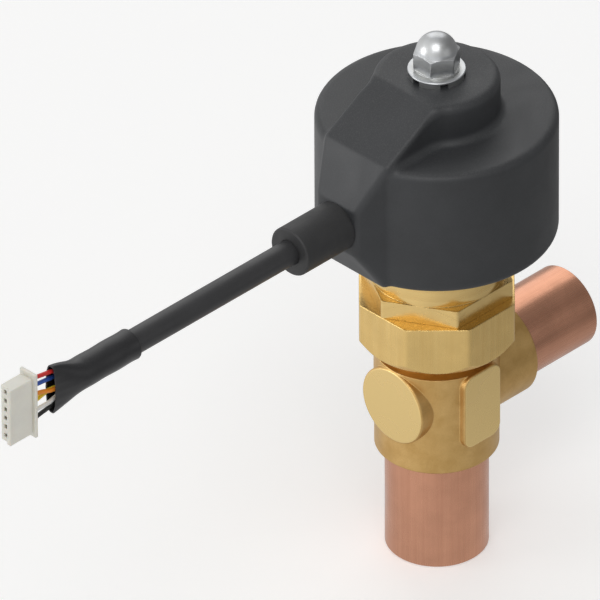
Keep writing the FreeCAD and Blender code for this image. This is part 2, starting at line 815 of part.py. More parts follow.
# Castellated lock washer and domed cap nut on the can's stud
def makeLockWasher():
    washer = ring(washerR, washerBoreR, hubTopZ, washerTopZ)
    washer = washer.makeFillet(washerHeight / 6, edgesAt(washer, washerTopZ - 0.1, washerTopZ + 0.1)[:1])
    notches = []
    for index in range(washerNotches):
        notch = boxBetween(washerR - washerNotchDepth, washerR + washerNotchDepth,
                           -washerNotchWidth / 2, washerNotchWidth / 2, hubTopZ, hubTopZ + washerNotchHeight)
        notches.append(spun(notch, 360.0 * index / washerNotches))
    return washer.cut(Part.makeCompound(notches))


def makeCapNut():
    hexLow = washerTopZ + capFlangeHeight
    hexHigh = washerTopZ + capHexHeight
    hexagon = polygonPrism(6, capAcross, hexLow, hexHigh, 180 / 6, capCornerR)
    cornerR = capAcross / 2 / math.cos(math.pi / 6)
    rise = (cornerR - capAcross / 2) * math.tan(math.radians(capChamferDeg))
    crown = turned([(0, hexLow), (cornerR, hexLow), (cornerR, hexHigh - rise), (capAcross / 2, hexHigh),
                    (0, hexHigh)])
    flange = disc(capFlangeR, washerTopZ, hexLow)
    centreZ = capDomeTopZ - capDomeR
    dome = Part.makeSphere(capDomeR, vec(0, 0, centreZ))
    dome = dome.common(disc(capAcross / 2, hexHigh - capFlangeHeight, capDomeTopZ))
    nut = hexagon.common(crown).fuse([flange, dome]).removeSplitter()
    return nut.cut(disc(capBoreR, washerTopZ, studTop + capFlangeHeight))


# Motor lead: strain-relief collar, straight cable, fan-out sleeve, six wires and the plug
def makeCableCollar():
    collar = rodX(cableCollarR, -cableCollarEndX, -blockFrontX, 0, cableZ)
    ends = [e for e in collar.Edges if e.BoundBox.XMax < -cableCollarEndX + 0.01]
    collar = collar.makeFillet(cableCollarEdgeR, ends)
    spigot = rodX(cableCollarSpigotR, -blockFrontX, -blockFrontX + blockWall, 0, cableZ)
    collar = collar.fuse(spigot).removeSplitter()
    return collar.cut(rodX(cableR + cableFit, -cableCollarEndX, -cableStartX, 0, cableZ))


def makeCable():
    cable = rodX(cableR, -cableEndX, -cableStartX, 0, cableZ)
    length = cableEndX - cableStartX
    print("cable length", length, "section x length", round(math.pi * cableR ** 2 * length, 1))
    return cable


def ovalSection(x, height, width):
    """Closed section across the lead: two straight flanks and a round top and bottom."""
    r = width / 2
    half = height / 2 - r
    z = cableZ
    top = Part.Arc(vec(x, -r, z + half), vec(x, 0, z + half + r), vec(x, r, z + half)).toShape()
    right = Part.makeLine(vec(x, r, z + half), vec(x, r, z - half))
    bottom = Part.Arc(vec(x, r, z - half), vec(x, 0, z - half - r), vec(x, -r, z - half)).toShape()
    left = Part.makeLine(vec(x, -r, z - half), vec(x, -r, z + half))
    return Part.Wire([top, right, bottom, left])


def roundSection(x, radius):
    s = radius * math.sqrt(0.5)
    z = cableZ
    top = Part.Arc(vec(x, -s, z + s), vec(x, 0, z + radius), vec(x, s, z + s)).toShape()
    right = Part.Arc(vec(x, s, z + s), vec(x, radius, z), vec(x, s, z - s)).toShape()
    bottom = Part.Arc(vec(x, s, z - s), vec(x, 0, z - radius), vec(x, -s, z - s)).toShape()
    left = Part.Arc(vec(x, -s, z - s), vec(x, -radius, z), vec(x, -s, z + s)).toShape()
    return Part.Wire([top, right, bottom, left])


def makeCableSleeve():
    innerR = sleeveR - sleeveWall
    outer = Part.makeLoft([roundSection(-sleeveRoundEndX, sleeveR),
                           ovalSection(-sleeveMouthX, sleeveMouthHeight, sleeveMouthWidth)], True)
    inner = Part.makeLoft([roundSection(-sleeveRoundEndX, innerR),
                           ovalSection(-sleeveMouthX, sleeveMouthHeight - 2 * sleeveWall,
                                       sleeveMouthWidth - 2 * sleeveWall)], True)
    flare = outer.cut(inner)
    tube = rodX(sleeveR, -sleeveRoundEndX, -sleeveStartX, 0, cableZ)
    tube = tube.cut(rodX(innerR, -sleeveRoundEndX, -sleeveStartX, 0, cableZ))
    return tube.fuse(flare)


def roundedPath(points):
    """Straight runs joined by tangent arcs, each as large as its two runs allow."""
    edges = []
    start = points[0]
    for before, corner, after in zip(points, points[1:], points[2:]):
        back = before - corner
        ahead = after - corner
        half = back.getAngle(ahead) / 2
        trim = 0.45 * min(back.Length, ahead.Length)
        radius = trim * math.tan(half)
        enter = corner + back.normalize() * trim
        leave = corner + ahead.normalize() * trim
        inward = (back + ahead).normalize()
        middle = corner + inward * (radius / math.sin(half) - radius)
        edges.append(Part.makeLine(start, enter))
        edges.append(Part.Arc(enter, middle, leave).toShape())
        print("arc radius", round(radius, 1), end="; ")
        start = leave
    edges.append(Part.makeLine(start, points[-1]))
    return Part.Wire(edges)


def wireRoute(index):
    """Route of one wire from its place in the cable to its cavity in the plug."""
    angles = (90, 30, 150, 210, 330, 270)
    angle = math.radians(angles[index])
    y = wireBundleR * math.cos(angle)
    z = cableZ + wireBundleR * math.sin(angle)
    row = (wireCount - 1) / 2 - index
    return [
        vec(-cableEndX, y, z), vec(-wireSpreadX, y, z),
        vec(-wireMouthX, plugCavityShift / 2, cableZ + row * wireMouthPitch),
        vec(-wireRowX, plugCavityShift, cableZ + row * plugPitch),
        vec(-plugWireStopX, plugCavityShift, cableZ + row * plugPitch),
    ]


def makeWire(index):
    path = roundedPath(wireRoute(index))
    start = wireRoute(index)[0]
    section = Part.Wire(Part.makeCircle(wireR, start, alongX))
    wire = path.makePipeShell([section], True, False)
    print("wire", index + 1, "length", round(path.Length, 1), "volume ratio",
          round(wire.Volume / (math.pi * wireR ** 2 * path.Length), 3))
    return wire


def plugRows():
    return [cableZ + plugPitch * ((wireCount - 1) / 2 - index) for index in range(wireCount)]


def acrossX(x0, x1, height, width, y=0.0):
    return boxBetween(-x1, -x0, y - width / 2, y + width / 2, cableZ - height / 2, cableZ + height / 2)


def makePlugHousing():
    flangeEnd = plugFlangeStartX + plugFlangeThickness
    grooveEnd = flangeEnd + plugGrooveWidth
    flange = acrossX(plugFlangeStartX, flangeEnd, plugFlangeHeight, plugFlangeWidth)
    neck = acrossX(flangeEnd, grooveEnd, plugHousingHeight - 2 * plugGrooveDepth,
                   plugHousingWidth - 2 * plugGrooveDepth)
    block = acrossX(grooveEnd, plugHousingEndX, plugHousingHeight, plugHousingWidth)
    plug = flange.fuse([neck, block]).removeSplitter()
    half = plugCavity / 2
    cuts = []
    for z in plugRows():
        cuts.append(boxBetween(-plugHousingEndX, -plugWireStopX, plugCavityShift - half,
                               plugCavityShift + half, z - half, z + half))
        cuts.append(rodX(plugWireHoleR, -plugWireStopX, -plugFlangeStartX, plugCavityShift, z))
    return plug.cut(Part.makeCompound(cuts))


def makePlugContacts():
    half = plugCavity / 2 - contactFit
    inner = half - contactWall
    contacts = []
    for z in plugRows():
        y = plugCavityShift
        start = -plugHousingEndX + contactSetback
        shell = boxBetween(start, -contactBoxEndX, y - half, y + half, z - half, z + half)
        hollow = boxBetween(start, -contactBoxEndX - contactWall, y - inner, y + inner, z - inner, z + inner)
        barrel = rodX(contactBarrelR, -contactBoxEndX, -plugWireStopX, y, z)
        contacts.append(shell.cut(hollow).fuse(barrel).removeSplitter())
    return Part.makeCompound(contacts)


quarterPole = 360.0 / toothCount / 4
halfPitch = 360.0 / toothCount / 2
os.makedirs("parts", exist_ok=True)
save("lower_pipe", makeLowerPipe())
save("side_pipe", makeSidePipe())
save("body", makeBody())
save("valve_seat", makeValveSeat())
save("bonnet", makeBonnet())
save("base_gasket", makeBaseGasket())
save("motor_base", makeMotorBase())
save("guide_bush", makeGuideBush())
save("stator_gasket", makeStatorGasket())
save("bearing_outer_ring", makeBearingOuter())
save("bearing_inner_ring", makeBearingInner())
save("bearing_balls", makeBearingBalls())
save("piston", makePiston())
save("piston_seal", makePistonSeal())
save("spindle", makeSpindle())
save("spindle_nut", makeSpindleNut())
save("rotor_hub", makeRotorHub())
save("rotor_magnet", makeRotorMagnet())
save("rotor_cap", makeRotorCap())
save("top_bush", makeTopBush())
save("rotor_can", makeRotorCan())
save("stator_housing", makeStatorHousing())
save("lower_yoke_cup", yokeCup(0))
save("lower_yoke_plate", yokePlate(halfPitch))
save("lower_bobbin", bobbin())
save("lower_coil", coil())
save("upper_yoke_cup", mirrored(yokeCup(quarterPole)))
save("upper_yoke_plate", mirrored(yokePlate(quarterPole + halfPitch)))
save("upper_bobbin", mirrored(bobbin()))
save("upper_coil", mirrored(coil()))
save("terminal_board", makeTerminalBoard())
save("terminal_pins", makeTerminalPins())
save("lock_washer", makeLockWasher())
save("cap_nut", makeCapNut())
save("cable_collar", makeCableCollar())
save("cable", makeCable())
save("cable_sleeve", makeCableSleeve())
for index in range(wireCount):
    save("wire_" + str(index + 1), makeWire(index))
save("plug_housing", makePlugHousing())
save("plug_contacts", makePlugContacts())
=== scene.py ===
import json
import math
import random

import bmesh
import bpy
import numpy as np
from mathutils import Matrix, Vector


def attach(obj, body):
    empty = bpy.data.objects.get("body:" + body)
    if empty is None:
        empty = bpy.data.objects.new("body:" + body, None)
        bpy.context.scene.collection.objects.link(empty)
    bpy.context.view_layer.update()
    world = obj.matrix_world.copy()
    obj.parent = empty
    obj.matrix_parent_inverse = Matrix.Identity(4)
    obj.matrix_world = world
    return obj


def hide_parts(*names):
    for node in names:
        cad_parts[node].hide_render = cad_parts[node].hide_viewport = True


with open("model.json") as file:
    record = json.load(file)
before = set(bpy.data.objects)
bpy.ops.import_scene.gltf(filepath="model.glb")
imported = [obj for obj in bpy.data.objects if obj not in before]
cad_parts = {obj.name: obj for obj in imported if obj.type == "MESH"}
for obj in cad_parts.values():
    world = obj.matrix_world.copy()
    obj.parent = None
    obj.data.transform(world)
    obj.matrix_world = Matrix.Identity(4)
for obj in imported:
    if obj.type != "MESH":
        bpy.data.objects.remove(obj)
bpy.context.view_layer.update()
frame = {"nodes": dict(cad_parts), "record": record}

mm = 0.001
print("frame loaded,", len(frame["nodes"]), "nodes")


# Small hands for objects and node trees

def newObject(name, data):
    obj = bpy.data.objects.new(name, data)
    bpy.context.scene.collection.objects.link(obj)
    return obj


def putNode(tree, kind, sockets=None, **settings):
    made = tree.nodes.new(kind)
    for key, value in settings.items():
        setattr(made, key, value)
    for key, value in (sockets or {}).items():
        if isinstance(value, bpy.types.NodeSocket):
            tree.links.new(value, made.inputs[key])
        else:
            made.inputs[key].default_value = value
    return made


def maths(tree, operation, first, second=0.0):
    return putNode(tree, "ShaderNodeMath", {0: first, 1: second}, operation=operation).outputs[0]


def times(tree, first, second):
    return maths(tree, "MULTIPLY", first, second)


def plus(tree, first, second):
    return maths(tree, "ADD", first, second)


def scaledBy(tree, vector, factor):
    return putNode(tree, "ShaderNodeVectorMath", {0: vector, "Scale": factor}, operation="SCALE").outputs[0]


def dividedBy(tree, vector, size, repeats=1.0):
    return scaledBy(tree, vector, maths(tree, "DIVIDE", repeats, size))


def alongWay(tree, vector, way):
    return putNode(tree, "ShaderNodeVectorMath", {0: vector, 1: way}, operation="DOT_PRODUCT").outputs["Value"]


def mixTone(tree, factor, first, second):
    return putNode(tree, "ShaderNodeMix", {0: factor, 6: first, 7: second}, data_type="RGBA").outputs[2]


def mapTo(tree, value, fromLow, fromHigh, toLow, toHigh):
    sockets = {"Value": value, "From Min": fromLow, "From Max": fromHigh, "To Min": toLow, "To Max": toHigh}
    return putNode(tree, "ShaderNodeMapRange", sockets, clamp=True).outputs[0]


def noiseAt(tree, vector, detail, roughness=0.5, scale=1.0, distortion=0.0):
    sockets = {"Vector": vector, "Scale": scale, "Detail": detail, "Roughness": roughness, "Distortion": distortion}
    return putNode(tree, "ShaderNodeTexNoise", sockets).outputs[0]


noiseSpan = (0.3, 0.7)  # where most of a noise lies


def fromNoise(tree, value, low=0.0, high=1.0):
    return mapTo(tree, value, *noiseSpan, low, high)


def startGroup(name, inputs, outputs):
    tree = bpy.data.node_groups.new(name, "ShaderNodeTree")
    for label, value in inputs.items():
        kind = "NodeSocketVector" if isinstance(value, tuple) else "NodeSocketFloat"
        tree.interface.new_socket(name=label, in_out="INPUT", socket_type=kind).default_value = value
    for label in outputs:
        kind = "NodeSocketVector" if label == "Normal" else "NodeSocketFloat"
        tree.interface.new_socket(name=label, in_out="OUTPUT", socket_type=kind)
    return tree, tree.nodes.new("NodeGroupInput").outputs, tree.nodes.new("NodeGroupOutput").inputs


def putOut(tree, out, **values):
    for label, value in values.items():
        tree.links.new(value, out[label])
    return tree


def placeGroup(tree, group, sockets):
    return putNode(tree, "ShaderNodeGroup", sockets, node_tree=group).outputs


def inMillimetres(tree):
    return scaledBy(tree, putNode(tree, "ShaderNodeTexCoord").outputs["Object"], 1 / mm)


# Effects that several finishes share, each a group with named sockets

def fineGrainGroup():
    # even grain of one size, with a slower patchiness over it
    tree, given, out = startGroup("fine grain", {"Size": 0.2, "Patch Size": 6.0}, ("Height", "Patches"))
    place = inMillimetres(tree)
    return putOut(tree, out, Height=noiseAt(tree, dividedBy(tree, place, given["Size"]), 3.0, 0.6),
                  Patches=noiseAt(tree, dividedBy(tree, place, given["Patch Size"]), 4.0, 0.55))


def drawnLinesGroup():
    # lines left by drawing or extrusion, long in the direction where Stretch is small
    tree, given, out = startGroup("drawn lines", {"Stretch": (1.0, 1.0, 0.02), "Size": 0.2}, ("Height", "Streaks"))
    pulled = putNode(tree, "ShaderNodeVectorMath", {0: inMillimetres(tree), 1: given["Stretch"]},
                     operation="MULTIPLY").outputs[0]
    wider = 0.12
    return putOut(tree, out, Height=noiseAt(tree, dividedBy(tree, pulled, given["Size"]), 2.0, 0.7),
                  Streaks=noiseAt(tree, dividedBy(tree, pulled, given["Size"], wider), 3.0, 0.6))


def toolRingsGroup():
    # rings of a turning tool about the upright axis: on a side they step up it, on a face they step outwards
    tree, given, out = startGroup("tool rings", {"Pitch": 0.15, "Wander": 2.0}, ("Height", "Bands"))
    x, y, z = putNode(tree, "ShaderNodeSeparateXYZ", {0: inMillimetres(tree)}).outputs
    radius = maths(tree, "SQRT", plus(tree, times(tree, x, x), times(tree, y, y)))
    along = plus(tree, radius, z)
    step = times(tree, along, maths(tree, "DIVIDE", 2 * math.pi, given["Pitch"]))
    line = putNode(tree, "ShaderNodeCombineXYZ", {0: along}).outputs[0]
    uneven = noiseAt(tree, line, 4.0, 0.7, scale=3.1)
    phase = plus(tree, step, times(tree, uneven, given["Wander"]))
    wave = times(tree, maths(tree, "SINE", phase), 0.35)
    return putOut(tree, out, Height=plus(tree, wave, uneven), Bands=noiseAt(tree, line, 2.0, scale=0.8))


def edgeWearAndHighlightGroup():
    # a broken edge: its rounded normal, and a mask along it, patchy where handling has polished or rubbed it, which the
    # finishes also use to paint a highlight on edges
    tree, given, out = startGroup("edge wear and highlight", {"Radius": 0.2, "Spread": 0.25, "Patch Size": 2.0}, ("Mask", "Normal"))
    rounded = putNode(tree, "ShaderNodeBevel", {"Radius": times(tree, given["Radius"], mm)}, samples=6).outputs[0]
    true = putNode(tree, "ShaderNodeNewGeometry").outputs["True Normal"]
    turned = maths(tree, "SUBTRACT", 1.0, alongWay(tree, rounded, true))
    noise = noiseAt(tree, dividedBy(tree, inMillimetres(tree), given["Patch Size"]), 5.0, 0.7)
    wornAndHighlit = times(tree, turned, mapTo(tree, noise, 0.35, 0.7, 0.2, 1.6))
    return putOut(tree, out, Mask=mapTo(tree, wornAndHighlit, 0.02, given["Spread"], 0.0, 1.0), Normal=rounded)


def handledGroup():
    # faint smears and settled dust: slow cloudy marks that only change the gloss and lift the tone a little
    tree, given, out = startGroup("handled", {"Size": 12.0}, ("Smears", "Dust"))
    slow = dividedBy(tree, inMillimetres(tree), given["Size"])
    upwards = putNode(tree, "ShaderNodeSeparateXYZ", {0: putNode(tree, "ShaderNodeTexCoord").outputs["Normal"]})
    lying = mapTo(tree, upwards.outputs[2], 0.3, 1.0, 0.0, 1.0)
    settled = mapTo(tree, noiseAt(tree, slow, 2.0, scale=60.0), 0.5, 0.72, 0.0, 1.0)
    return putOut(tree, out, Smears=noiseAt(tree, slow, 5.0, distortion=0.8), Dust=times(tree, lying, settled))


fineGrain = fineGrainGroup()
drawnLines = drawnLinesGroup()
toolRings = toolRingsGroup()
edgeWearAndHighlight = edgeWearAndHighlightGroup()
handled = handledGroup()


# Finishes

def startFinish(name, metallic=0.0, **own):
    material = bpy.data.materials.new(name)
    material.use_nodes = True
    tree = material.node_tree
    shader = tree.nodes["Principled BSDF"]
    shader.inputs["Metallic"].default_value = metallic
    for label, value in own.items():
        shader.inputs[label].default_value = value
    return material, tree, shader


def shade(rgb, factor=1.0):
    return tuple(min(1.0, c * factor) for c in rgb) + (1.0,)


def grainOf(tree, look, size="grainSize"):
    return placeGroup(tree, fineGrain, {"Size": look[size], "Patch Size": look["patchSize"]})


def linesOf(tree, look, stretch="stretch", size="lineSize"):
    return placeGroup(tree, drawnLines, {"Stretch": look[stretch], "Size": look[size]})


def edgeOf(tree, look):
    return placeGroup(tree, edgeWearAndHighlight, {"Radius": look["edge"], "Spread": look["edgeSpread"]})


def marksOf(tree, look):
    return placeGroup(tree, handled, {"Size": look["smearSize"]})


def mottled(tree, look, patches):
    return mixTone(tree, fromNoise(tree, patches), shade(look["colour"], look["darker"]), shade(look["colour"]))


dustColour = (0.55, 0.53, 0.5)


def dusted(tree, look, tone, dust):
    return mixTone(tree, times(tree, dust, look["dust"]), tone, shade(dustColour))


def smeared(tree, look, smears):
    return fromNoise(tree, smears, look["roughLow"], look["roughHigh"])


def setSurface(tree, shader, tone, rough, height, depth, normal=None):
    bump = putNode(tree, "ShaderNodeBump", {"Strength": 1.0, "Distance": depth * mm, "Height": height})
    if normal:
        tree.links.new(normal, bump.inputs["Normal"])
    for value, label in ((tone, "Base Color"), (rough, "Roughness"), (bump.outputs[0], "Normal")):
        tree.links.new(value, shader.inputs[label])


streakSpan = (0.35, 0.75)  # where streaks and bands start and are full


def bareMetal(name, look):
    # tube and bar with lines along them, or the fine rings of the lathe where the look has a pitch
    material, tree, shader = startFinish(name, metallic=1.0, Anisotropic=look.get("anisotropy", 0.0))
    grain, edge, marks = grainOf(tree, look), edgeOf(tree, look), marksOf(tree, look)
    if "pitch" in look:
        rings = placeGroup(tree, toolRings, {"Pitch": look["pitch"], "Wander": 3.0})
        streaks, height, tarnished, polishedAndHighlit = rings["Bands"], rings["Height"], 0.6, 1.15
        uneven = fromNoise(tree, rings["Bands"], -0.04, 0.06)
        tangent = putNode(tree, "ShaderNodeTangent", direction_type="RADIAL", axis="Z")
        tree.links.new(tangent.outputs[0], shader.inputs["Tangent"])
    else:
        lines = linesOf(tree, look)
        streaks, tarnished, polishedAndHighlit = lines["Streaks"], 0.5, 1.12
        height = plus(tree, lines["Height"], times(tree, grain["Height"], 0.4))
        uneven = fromNoise(tree, lines["Height"], -0.05, 0.05)
    tone = mottled(tree, look, grain["Patches"])
    tone = mixTone(tree, mapTo(tree, streaks, *streakSpan, 0.0, tarnished), tone, shade(look["tarnish"]))
    # edges painted lighter: partly polish from handling, partly a painted highlight
    tone = mixTone(tree, edge["Mask"], tone, shade(look["colour"], polishedAndHighlit))
    rough = plus(tree, smeared(tree, look, marks["Smears"]), uneven)
    setSurface(tree, shader, tone, rough, height, look["depth"], edge["Normal"])
    return material


def forgedBrass(name, look):
    # a blasted forging skin, with the spanner pads, the boss and the stub's end cut bright
    material, tree, shader = startFinish(name, metallic=1.0)
    place = putNode(tree, "ShaderNodeSeparateXYZ", {0: inMillimetres(tree)}).outputs
    pads = maths(tree, "GREATER_THAN", maths(tree, "ABSOLUTE", place[1]), look["padsFrom"])
    boss = maths(tree, "LESS_THAN", place[0], -look["bossFrom"])
    stub = maths(tree, "GREATER_THAN", place[0], look["stubFrom"])
    cut = maths(tree, "MAXIMUM", pads, maths(tree, "MAXIMUM", boss, stub))
    skin, edge, marks = grainOf(tree, look, "skinSize"), edgeOf(tree, look), marksOf(tree, look)
    lines = linesOf(tree, look, "cutterStretch", "cutterSize")
    tone = mixTone(tree, fromNoise(tree, skin["Patches"]), shade(look["skinDark"]), shade(look["skin"]))
    tone = mixTone(tree, mapTo(tree, skin["Height"], 0.3, 0.5, 0.35, 0.0), tone, shade(look["skinDark"], 0.7))
    tone = mixTone(tree, cut, tone, shade(look["cut"]))
    # edges painted lighter than the cut faces: partly polish from handling, partly a painted highlight
    tone = mixTone(tree, edge["Mask"], tone, shade(look["cut"], 1.1))
    rough = maths(tree, "SUBTRACT", smeared(tree, look, marks["Smears"]), times(tree, cut, look["cutSmoother"]))
    skinHeight = times(tree, skin["Height"], maths(tree, "SUBTRACT", 1.0, cut))
    cutHeight = times(tree, lines["Height"], times(tree, cut, 0.15))
    setSurface(tree, shader, tone, rough, plus(tree, skinHeight, cutHeight), look["depth"], edge["Normal"])
    return material


def moulding(name, look):
    # moulded plastic and rubber: a fine eroded mould skin, paler edges that are partly rubbed and partly a painted
    # highlight, and a little dust on top
    material, tree, shader = startFinish(name, **look.get("shader", {}))
    skin, edge, marks = grainOf(tree, look), edgeOf(tree, look), marksOf(tree, look)
    tone = mottled(tree, look, skin["Patches"])
    tone = mixTone(tree, mapTo(tree, skin["Height"], 0.56, 0.8, 0.0, look["fleck"]), tone, shade(look["rubbedAndHighlit"]))
    # edges painted paler: partly rubbed, partly a painted highlight
    tone = mixTone(tree, times(tree, edge["Mask"], look["edgeAmount"]), tone, shade(look["rubbedAndHighlit"]))
    tone = dusted(tree, look, tone, marks["Dust"])
    rough = plus(tree, smeared(tree, look, marks["Smears"]), times(tree, edge["Mask"], -0.08))
    setSurface(tree, shader, tone, rough, skin["Height"], look["depth"], edge["Normal"])
    return material


def extrusion(name, look):
    # jacket, sleeve and wire insulation: long faint die lines and a soft sheen
    material, tree, shader = startFinish(name)
    lines, skin, marks = linesOf(tree, look), grainOf(tree, look), marksOf(tree, look)
    tone = mottled(tree, look, skin["Patches"])
    tone = mixTone(tree, mapTo(tree, lines["Streaks"], 0.5, 0.8, 0.0, 0.35), tone, shade(look["colour"], 1.5))
    tone = dusted(tree, look, tone, marks["Dust"])
    height = plus(tree, lines["Height"], times(tree, skin["Height"], look["grainShare"]))
    setSurface(tree, shader, tone, smeared(tree, look, marks["Smears"]), height, look["depth"])
    return material


copperLook = dict(
    colour=(0.78, 0.39, 0.25), darker=0.86, tarnish=(0.58, 0.27, 0.17), stretch=(1, 1, 0.02), lineSize=0.12,
    grainSize=0.1, patchSize=7.0, edge=0.25, edgeSpread=0.3, smearSize=14.0, roughLow=0.2, roughHigh=0.36, depth=0.004)
barLook = dict(
    colour=(0.87, 0.61, 0.24), darker=0.88, tarnish=(0.7, 0.46, 0.16), stretch=(1, 1, 0.03), lineSize=0.16,
    grainSize=0.12, patchSize=6.0, edge=0.45, edgeSpread=0.3, smearSize=10.0, roughLow=0.2, roughHigh=0.34, depth=0.005)
turnedLook = dict(
    colour=(0.88, 0.63, 0.26), darker=0.9, tarnish=(0.72, 0.48, 0.18), pitch=0.18, anisotropy=0.45,
    grainSize=0.12, patchSize=6.0, edge=0.3, edgeSpread=0.3, smearSize=10.0, roughLow=0.18, roughHigh=0.32, depth=0.004)
forgedLook = dict(
    skin=(0.76, 0.5, 0.2), skinDark=(0.62, 0.38, 0.13), cut=(0.89, 0.65, 0.28), skinSize=0.22, patchSize=5.0,
    cutterStretch=(1, 0.1, 0.05), cutterSize=0.15, edge=0.4, edgeSpread=0.35, smearSize=9.0, roughLow=0.36,
    roughHigh=0.48, cutSmoother=0.16, depth=0.03, padsFrom=15.68, bossFrom=15.42, stubFrom=22.12)
steelLook = dict(
    colour=(0.72, 0.72, 0.71), darker=0.92, tarnish=(0.6, 0.6, 0.6), pitch=0.14, anisotropy=0.4,
    grainSize=0.1, patchSize=5.0, edge=0.15, edgeSpread=0.3, smearSize=7.0, roughLow=0.16, roughHigh=0.28, depth=0.003)
zincLook = dict(
    colour=(0.6, 0.62, 0.65), darker=0.86, tarnish=(0.56, 0.54, 0.46), pitch=0.5,
    grainSize=0.08, patchSize=2.6, edge=0.18, edgeSpread=0.3, smearSize=5.0, roughLow=0.26, roughHigh=0.38, depth=0.003)
housingLook = dict(
    colour=(0.034, 0.036, 0.039), darker=0.82, rubbedAndHighlit=(0.13, 0.13, 0.135), fleck=0.35, edgeAmount=0.25, dust=0.06,
    grainSize=0.16, patchSize=9.0, edge=0.7, edgeSpread=0.5, smearSize=16.0, roughLow=0.44, roughHigh=0.56, depth=0.014)
rubberLook = dict(
    colour=(0.03, 0.03, 0.031), darker=0.85, rubbedAndHighlit=(0.09, 0.09, 0.09), fleck=0.1, edgeAmount=0.25, dust=0.05,
    grainSize=0.3, patchSize=4.0, edge=0.2, edgeSpread=0.35, smearSize=8.0, roughLow=0.5, roughHigh=0.62, depth=0.01)
plugLook = dict(
    colour=(0.83, 0.81, 0.73), darker=0.94, rubbedAndHighlit=(0.9, 0.89, 0.84), fleck=0.15, edgeAmount=0.5, dust=0.04,
    grainSize=0.25, patchSize=4.0, edge=0.15, edgeSpread=0.4, smearSize=6.0, roughLow=0.28, roughHigh=0.38, depth=0.004,
    shader={"Subsurface Weight": 0.25, "Subsurface Radius": (0.9, 0.7, 0.5), "Subsurface Scale": 0.0008})
innerLook = dict(plugLook, colour=(0.78, 0.74, 0.63), shader={})
seatLook = dict(plugLook, colour=(0.87, 0.86, 0.82), shader={})
gasketLook = dict(rubberLook, colour=(0.02, 0.02, 0.021), dust=0.0)
boardLook = dict(plugLook, colour=(0.03, 0.2, 0.08), rubbedAndHighlit=(0.2, 0.36, 0.2), shader={}, dust=0.0)
ferriteLook = dict(housingLook, colour=(0.075, 0.075, 0.08), rubbedAndHighlit=(0.16, 0.16, 0.165), grainSize=0.1, dust=0.0)
jacketLook = dict(
    colour=(0.036, 0.036, 0.038), darker=0.85, stretch=(0.02, 1, 1), lineSize=0.3, grainShare=0.5, dust=0.04,
    grainSize=0.25, patchSize=6.0, smearSize=9.0, roughLow=0.38, roughHigh=0.5, depth=0.008)
sleeveLook = dict(jacketLook, colour=(0.022, 0.022, 0.024), roughLow=0.3, roughHigh=0.42, lineSize=0.4, depth=0.012)
wireLook = dict(
    darker=0.9, stretch=(0.03, 1, 1), lineSize=0.12, grainShare=0.3, dust=0.02,
    grainSize=0.1, patchSize=2.0, smearSize=3.0, roughLow=0.26, roughHigh=0.36, depth=0.002)
wireColours = dict(
    wire_1=(0.62, 0.03, 0.025), wire_2=(0.03, 0.1, 0.44), wire_3=(0.85, 0.27, 0.02),
    wire_4=(0.88, 0.66, 0.03), wire_5=(0.82, 0.82, 0.8), wire_6=(0.02, 0.02, 0.02))
windingLook = dict(copperLook, colour=(0.6, 0.22, 0.08), darker=0.8, tarnish=(0.42, 0.14, 0.05), stretch=(1, 1, 1))

finishes = {
    "copper": bareMetal("drawn copper", copperLook),
    "forged_brass": forgedBrass("forged brass", forgedLook),
    "turned_brass": bareMetal("turned brass", turnedLook),
    "seat_plastic": moulding("seat plastic", seatLook),
    "gasket": moulding("gasket rubber", gasketLook),
    "bearing_steel": bareMetal("bearing steel", steelLook),
    "stainless": bareMetal("stainless", dict(steelLook, roughLow=0.22, roughHigh=0.34)),
    "inner_moulding": moulding("inner moulding", innerLook),
    "ferrite": moulding("ferrite", ferriteLook),
    "housing_moulding": moulding("black housing moulding", housingLook),
    "plated_steel": bareMetal("zinc plate", zincLook),
    "winding": bareMetal("enamelled winding", windingLook),
    "circuit_board": moulding("circuit board", boardLook),
    "tinned_contact": bareMetal("tinned contact", dict(zincLook, colour=(0.78, 0.78, 0.75))),
    "cable_rubber": moulding("collar rubber", rubberLook),
    "cable_jacket": extrusion("cable jacket", jacketLook),
    "sleeve_plastic": extrusion("sleeve plastic", sleeveLook),
    "plug_plastic": moulding("natural plug plastic", plugLook),
}
for wireName, colour in wireColours.items():
    finishes[wireName] = extrusion(wireName + " insulation", dict(wireLook, colour=colour))
# two nodes have a look of their own: the stub whose lines run sideways, and the nut cut from bar
ownFinish = {
    "side_pipe": bareMetal("drawn copper across", dict(copperLook, stretch=(0.02, 1, 1))),
    "bonnet": bareMetal("brass bar flats", barLook),
}

slotOf = {entry["node"]: entry["material_slot"] for entry in frame["record"]["subparts"]}
for nodeName, node in frame["nodes"].items():
    finish = ownFinish.get(nodeName, finishes[slotOf[nodeName]])
    for materialSlot in node.material_slots:
        materialSlot.material = finish
print("finishes set")


# Camera: the drawing is isometric, so a long lens stands far off on the corner direction, turned a little so that
# the lead, the ports and the top lie where they are drawn

cameraLook = {"right": -32.83, "up": 13.07, "away": 6090.56, "lens": 1500.0, "sensor": 36.0,
              "tip": 0.422, "pan": 0.0025, "roll": -0.2407}
rightWay = Vector((1, -1, 0)).normalized()
backWay = Vector((-1, -1, 1)).normalized()
upWay = backWay.cross(rightWay)
cameraData = bpy.data.cameras.new("camera")
cameraData.lens = cameraLook["lens"]
cameraData.sensor_width = cameraLook["sensor"]
cameraData.clip_start = 0.1
cameraData.clip_end = 20
camera = newObject("camera", cameraData)
turn = Matrix((rightWay, upWay, backWay)).transposed().to_4x4()
for axis, angle in (("X", "tip"), ("Y", "pan"), ("Z", "roll")):
    turn = turn @ Matrix.Rotation(math.radians(cameraLook[angle]), 4, axis)
spot = (rightWay * cameraLook["right"] + upWay * cameraLook["up"] + backWay * cameraLook["away"]) * mm
camera.matrix_world = Matrix.Translation(spot) @ turn
bpy.context.scene.camera = camera


# Pieces made here

